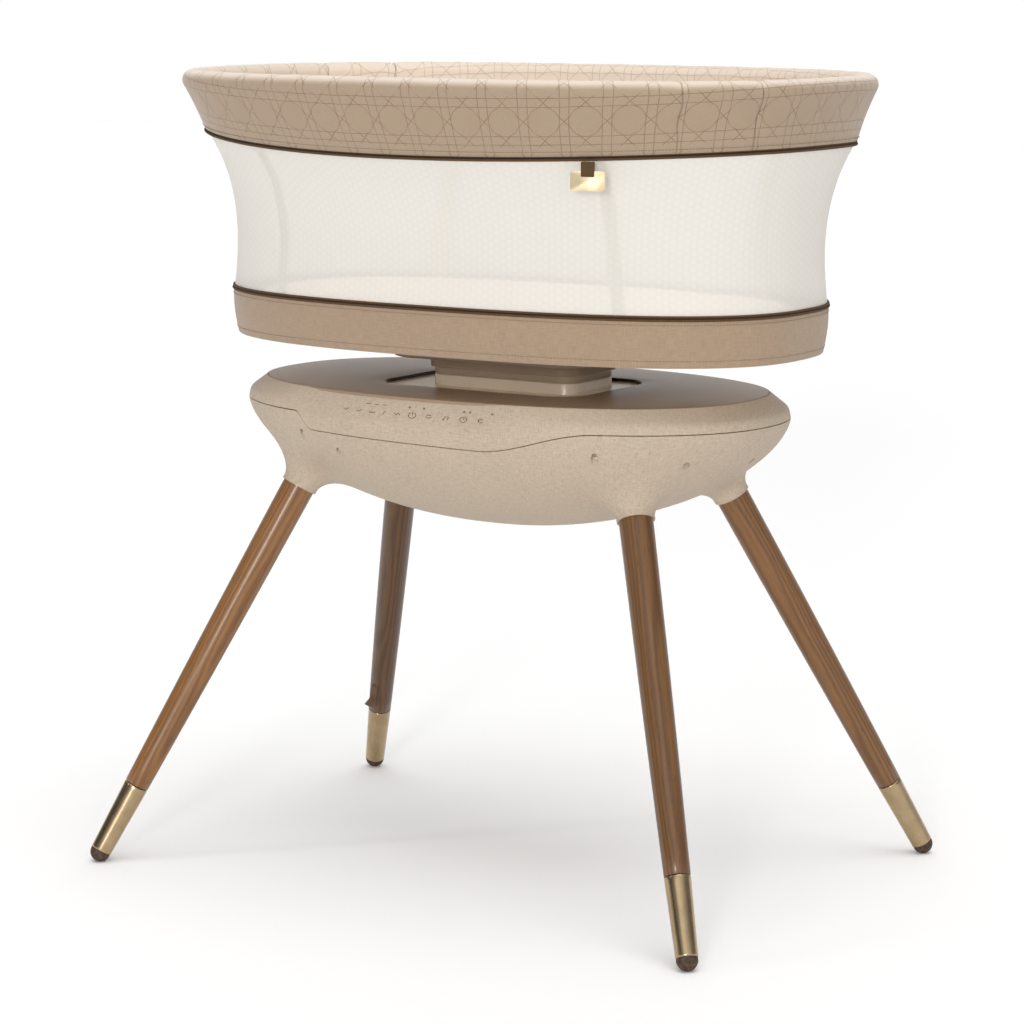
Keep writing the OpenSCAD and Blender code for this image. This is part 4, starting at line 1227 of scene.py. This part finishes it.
def add_stitches(name, ring, material, pitch=0.0036, size=0.0024, thick=0.00036):
    """A row of short threads along a closed ring of points."""
    closed = np.vstack([ring, ring[:1]])
    along = travelled(closed)
    count = int(along[-1] / pitch)
    points, faces = [], []
    for start in np.arange(count) * along[-1] / count:
        head, tail = [np.array([np.interp(start + d, along, closed[:, k]) for k in range(3)])
                      for d in (0, size)]
        way = unit(tail - head)
        flat = unit(np.cross(way, (0, 0, 1)))
        lift = np.cross(flat, way)
        faces += [[len(points) + i for i in face] for face in solid_faces(4, 6)]
        for share, r in ((0, 0.35), (0.2, 1.0), (0.8, 1.0), (1, 0.35)):
            points += circle(between(head, tail, share), thick * r, flat, lift, turns(6)).tolist()
    add_mesh(name, points, faces, "cradle", material)


def make_piping(name, node, half, n, z, rising, material):
    """Two cords in one folded tape, the lower one fatter. Local x is 1 in the groove between them, where
    shade is painted.
    """
    section, groove = [], []
    for out, up, r, start, end, side, fade in ((-0.0018, -0.0013, 0.0019, -140, 50, 1, 35),
                                               (-0.0021, 0.0017, 0.0015, -35, 180, -1, 30)):
        for turn in np.linspace(start, end, 11):
            angle = math.radians(turn)
            section.append((out + r * math.cos(angle), up + r * math.sin(angle)))
            groove.append(float(smooth((side * turn - 5) / fade)))
    section += [(-0.0046, 0.0022), (-0.0046, -0.0022)]
    groove += [0.0, 0.0]
    rings = [level(half.x + out, half.y + out, n, z + up, rising) for out, up in section]
    local = np.zeros((len(rings), len(rings[0]), 3))
    local[:, :, 0] = np.array(groove)[:, None]
    local[-2:, :, 1] = 1.0
    add_skin(name, rings, "cradle", material, True, [node], local=local)


def make_net(cloth):
    """Mesh wall: one stretched sheet that draws in at its waist."""
    low, high = low_piping_z + 0.0005, top_piping_z - 0.0005
    rings = []
    for share in np.linspace(0, 1, 25):
        pull = share ** 3 - 0.8 * share * (1 - share)
        a, b = between(tray_half, collar_half, pull)[:2]
        rings.append(level(a - 0.0028, b - 0.0028, between(TRAY_N, COLLAR_N, share),
                           between(low, high, share), share))
    piece = add_skin("net_wall", rings, "cradle", cloth, False, ["mesh_front", "mesh_back"])


def make_tray(band, thread, board):
    """Plain cloth band round the tray, turned under it."""
    top = low_piping_z - 0.0008
    height = top - tray_z
    rings = [tray_ring(inset, tray_z) for inset in (0.030, 0.022, 0.014)]
    for turn in np.radians(np.linspace(90, 5, 6)):
        inset, up = 1 - math.cos(turn), 1 - math.sin(turn)
        rings.append(tray_ring(0.0063 + HEM_R * inset, tray_z + HEM_R * up))
    for share in np.linspace(0, 1, 12):
        swell = 0.0012 * math.sin(math.pi * share)
        draw = 0.0045 * (1 - share) ** 1.5
        rings.append(tray_ring(0.0018 + draw - swell, top - 0.95 * height * (1 - share)))
    piece = add_skin("tray_band", rings, "cradle", band, False, ["tray_cover"])
    add_stitches("tray_stitches_top", tray_ring(0.0013, top - 0.0062), thread)
    add_stitches("tray_stitches_low", tray_ring(0.0050, tray_z + 0.0082), thread)
    half, (low, high) = half_size("tray_board"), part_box("tray_board")
    rings = [level(half.x - inset, half.y - inset, TRAY_N, z) for inset, z in (
        (0.0012, low.z + 0.0012), (0.0002, low.z + 0.0022), (0.0, high.z - 0.001), (0.001, high.z))]
    add_skin("tray_base", rings, "cradle", board, False, ["tray_board"], caps=True)


def make_struts(front_plastic, back_plastic):
    """Flat struts behind the mesh, with rounded edges. Their route follows its drawn-in waist."""
    route = [(236, 160, 625), (226, 161.4, 680), (220, 162.4, 735), (219.8, 168, 770), (221, 177, 802),
             (225, 193, 828), (227, 204, 842), (225.5, 213, 866), (223.6, 222, 890)]
    x, y = rounded_box(0.0015, 0.008, 0.0013, 24).T
    for corner, (sx, sy) in CORNERS.items():
        turn = math.radians(71) * sx * sy
        c, s = math.cos(turn), math.sin(turn)
        section = np.column_stack([x * c - y * s, x * s + y * c])
        rings = [at_height(section, up * MM, (REST[0] + sx * out * MM, REST[1] + sy * side * MM))
                 for out, side, up in route]
        add_skin("wall_strut_" + corner, rings, "cradle",
                 front_plastic if sy < 0 else back_plastic, False, ["strut_" + corner], caps=True)


def make_mattress(cotton):
    """Thin crowned mattress, swelled by a cloth simulation."""
    low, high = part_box("mattress")
    half = half_size("mattress")
    spread, edge = 0.003, 0.012

    def outline(inset):
        return oval(half.x + spread - inset * edge, half.y + spread - inset * edge, TRAY_N, 160)

    rings = [at_height(outline(inset), z, REST) for inset, z in (
        (0.9, low.z), (0.35, low.z + 0.001), (0.0, low.z + 0.007), (0.0, high.z - 0.012),
        (0.3, high.z - 0.006), (1.0, high.z - 0.004))]
    rings += [at_height(outline(1) * share, high.z - 0.004, REST) for share in (0.75, 0.5, 0.25, 0.04)]
    piece = add_skin("mattress_pad", rings, "mattress", cotton, False, ["mattress"],
                     caps=True)
    puff(piece, 0.007, low.z + 0.0002, high.z + 0.001)


def puff(piece, voxel, floor, ceiling):
    """Swells a closed piece with cloth pressure, and keeps it above floor and below ceiling."""
    remesh = piece.modifiers.new("remesh", "REMESH")
    remesh.mode = "VOXEL"
    remesh.voxel_size = voxel
    bake_modifiers(piece)
    cloth = piece.modifiers.new("cloth", "CLOTH")
    cloth.settings.use_pressure = True
    cloth.settings.uniform_pressure_force = 3.0
    cloth.settings.effector_weights.gravity = 0
    for number in range(1, 15):
        scene.frame_set(number)
    bake_modifiers(piece)
    scene.frame_set(1)
    points = np.array([v.co for v in piece.data.vertices])
    points[:, 2] = np.clip(points[:, 2], floor, ceiling)
    points[:, 2] = np.where(points[:, 2] < floor + 0.003, floor, points[:, 2])
    piece.data.vertices.foreach_set("co", points.ravel())
    piece.data.polygons.foreach_set("use_smooth", np.ones(len(piece.data.polygons), bool))


def bake_modifiers(piece):
    depsgraph = bpy.context.evaluated_depsgraph_get()
    mesh = bpy.data.meshes.new_from_object(piece.evaluated_get(depsgraph))
    piece.modifiers.clear()
    piece.data = mesh


def make_tag(tape, metal):
    """Webbing loop over the piping and a blank metal plate on it."""
    spot = np.array((REST[0] + 0.223, REST[1] - 0.219, 0))
    turn = math.radians(16)
    right = np.array((math.cos(turn), math.sin(turn), 0))
    out = np.array((math.sin(turn), -math.cos(turn), 0))

    def slab(name, half_width, low, high, corner, count, stand, thick, material, node):
        outline = rounded_box(half_width, (high - low) / 2, corner, count) + (0, (high + low) / 2)
        rings = []
        for push, shrink in ((stand, 0.0004), (stand + 0.0003, 0.0), (stand + thick - 0.0003, 0.0),
                             (stand + thick, 0.0004)):
            wide = outline[:, 0] - np.copysign(shrink, outline[:, 0])
            rings.append(spot + np.outer(wide, right) + out * push + np.outer(outline[:, 1], (0, 0, 1)))
        local = np.broadcast_to(np.column_stack([outline, np.zeros(count)]), (4, count, 3))
        sharpen(add_solid(name, rings, local, "cradle", material, node, flat_uv=True), 50)

    plate_low, plate_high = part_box("tag_plate")
    slab("name_plate_blank", 0.01925, plate_low.z, plate_high.z, 0.0022, 72, 0.0022, 0.0011,
         metal, "tag_plate")
    slab("tag_webbing", 0.0074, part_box("tag_loop")[0].z, top_piping_z + 0.001, 0.0006, 48, 0.0016, 0.0026,
         tape, "tag_loop")


# ---- CAD nodes that stay, and the palette ----

# Each plastic's tone, roughness, shine and, where it has one, shaded tone.
PLASTICS = {
    "deck_plastic": ((0.580, 0.488, 0.398), 0.36, 0.30, (0.16, 0.12, 0.09)),
    "flange_plastic": ((0.56, 0.485, 0.405), 0.42),
    "cream_plastic": ((0.85, 0.79, 0.71), 0.45),
    "black_plastic": ((0.16, 0.16, 0.17), 0.4),
    # The post's foot is the head's taupe painted lighter, as painted light.
    "post_foot_lit_plastic": ((0.775, 0.705, 0.620), 0.30, 0.5),
    "post_head_plastic": ((0.590, 0.515, 0.435), 0.32, 0.5),
    # Painted light: the shutter is pale cream, painted whiter still to lift the shade in the recess under
    # the deck.
    "shutter_lit_plastic": ((1.0, 0.93, 0.82), 0.30, 0.6),
    "nylon": ((0.88, 0.87, 0.82), 0.4),
    "printed_ink": ((0.36, 0.28, 0.21), 0.5),
    # Painted light: the screw heads take a pale linen tone in place of steel, to lift the shade in their
    # recesses.
    "screws_painted_light": ((0.74, 0.67, 0.59), 0.5),
    "clip_plastic": ((0.36, 0.26, 0.19), 0.45),
    "strut_front_plastic": ((0.70, 0.64, 0.44), 0.5),
    "strut_back_plastic": ((0.86, 0.82, 0.72), 0.5),
}


def repaint(name, material):
    node = frame["nodes"][name]
    node.data.materials.clear()
    node.data.materials.append(material)


def finish_cad(materials):
    """Better materials for the works that stay as the CAD has them."""
    slot_of = {row["node"]: row["material_slot"] for row in frame["record"]["subparts"]}
    for name, node in frame["nodes"].items():
        material = materials.get(slot_of.get(name))
        if material is not None:
            repaint(name, material)


def dress_rest(linen, brass, black_rubber, plastic):
    """Finishes the CAD nodes that nothing replaces."""
    finish_cad({
        "steel": brushed_metal("steel", (0.72, 0.73, 0.75), 0.32, (30, 900, 30)),
        "nylon": plastic["nylon"], "black_plastic": plastic["black_plastic"],
        "circuit_board": circuit_board(), "satin_brass": brass, "cream_plastic": plastic["cream_plastic"],
        "satin_taupe": plastic["deck_plastic"], "walnut": walnut("walnut_plain"),
        "dark_rubber": black_rubber, "linen_shell": linen,
    })
    repaint("cord_clip", plastic["clip_plastic"])
    repaint("shell_screws", plastic["screws_painted_light"])
    repaint("shutter_plate", plastic["shutter_lit_plastic"])


def make_stand(linen, brass, black_rubber, plastic):
    make_legs(brass, black_rubber)
    make_pod(linen)
    make_deck(plastic["deck_plastic"])
    make_symbols(plastic["printed_ink"])
    make_post(plastic["post_foot_lit_plastic"], plastic["post_head_plastic"], plastic["flange_plastic"])


def make_bassinet(plastic):
    thread = twill("thread", (0.54, 0.45, 0.37), 0.5 * MM, 0.1)
    piping = twill("piping_tape", (0.345, 0.260, 0.165), 1.0 * MM, 0.03, (0.16, 0.115, 0.075),
                   (0.80, 0.76, 0.70))
    cane = cane_cloth("cane_print", (0.637, 0.563, 0.480), (0.520, 0.405, 0.330), (0.620, 0.535, 0.450),
                      (0.880, 0.818, 0.752))
    make_tray(twill("tray_twill", (0.630, 0.542, 0.452)), thread, plastic["cream_plastic"])
    make_piping("piping_low", "lower_piping", tray_half, TRAY_N, low_piping_z, 0, piping)
    make_net(net_cloth())
    make_struts(plastic["strut_front_plastic"], plastic["strut_back_plastic"])
    make_piping("piping_top", "upper_piping", collar_half, COLLAR_N, top_piping_z, 1, piping)
    make_rim(cane, thread)
    make_mattress(quilted_cotton())
    make_tag(twill("tag_tape", (0.345, 0.262, 0.175), 1.0 * MM, 0.03),
             brushed_metal("tag_metal", (0.85, 0.78, 0.65), 0.50, (900, 30, 30)))


def main():
    make_camera()
    make_studio()
    linen, black_rubber = linen_plastic(), rubber()
    brass = brushed_metal("satin_brass", (0.680, 0.595, 0.470), 0.22)
    plastic = {name: satin_plastic(name, *look) for name, look in PLASTICS.items()}
    dress_rest(linen, brass, black_rubber, plastic)
    make_stand(linen, brass, black_rubber, plastic)
    make_bassinet(plastic)


main()
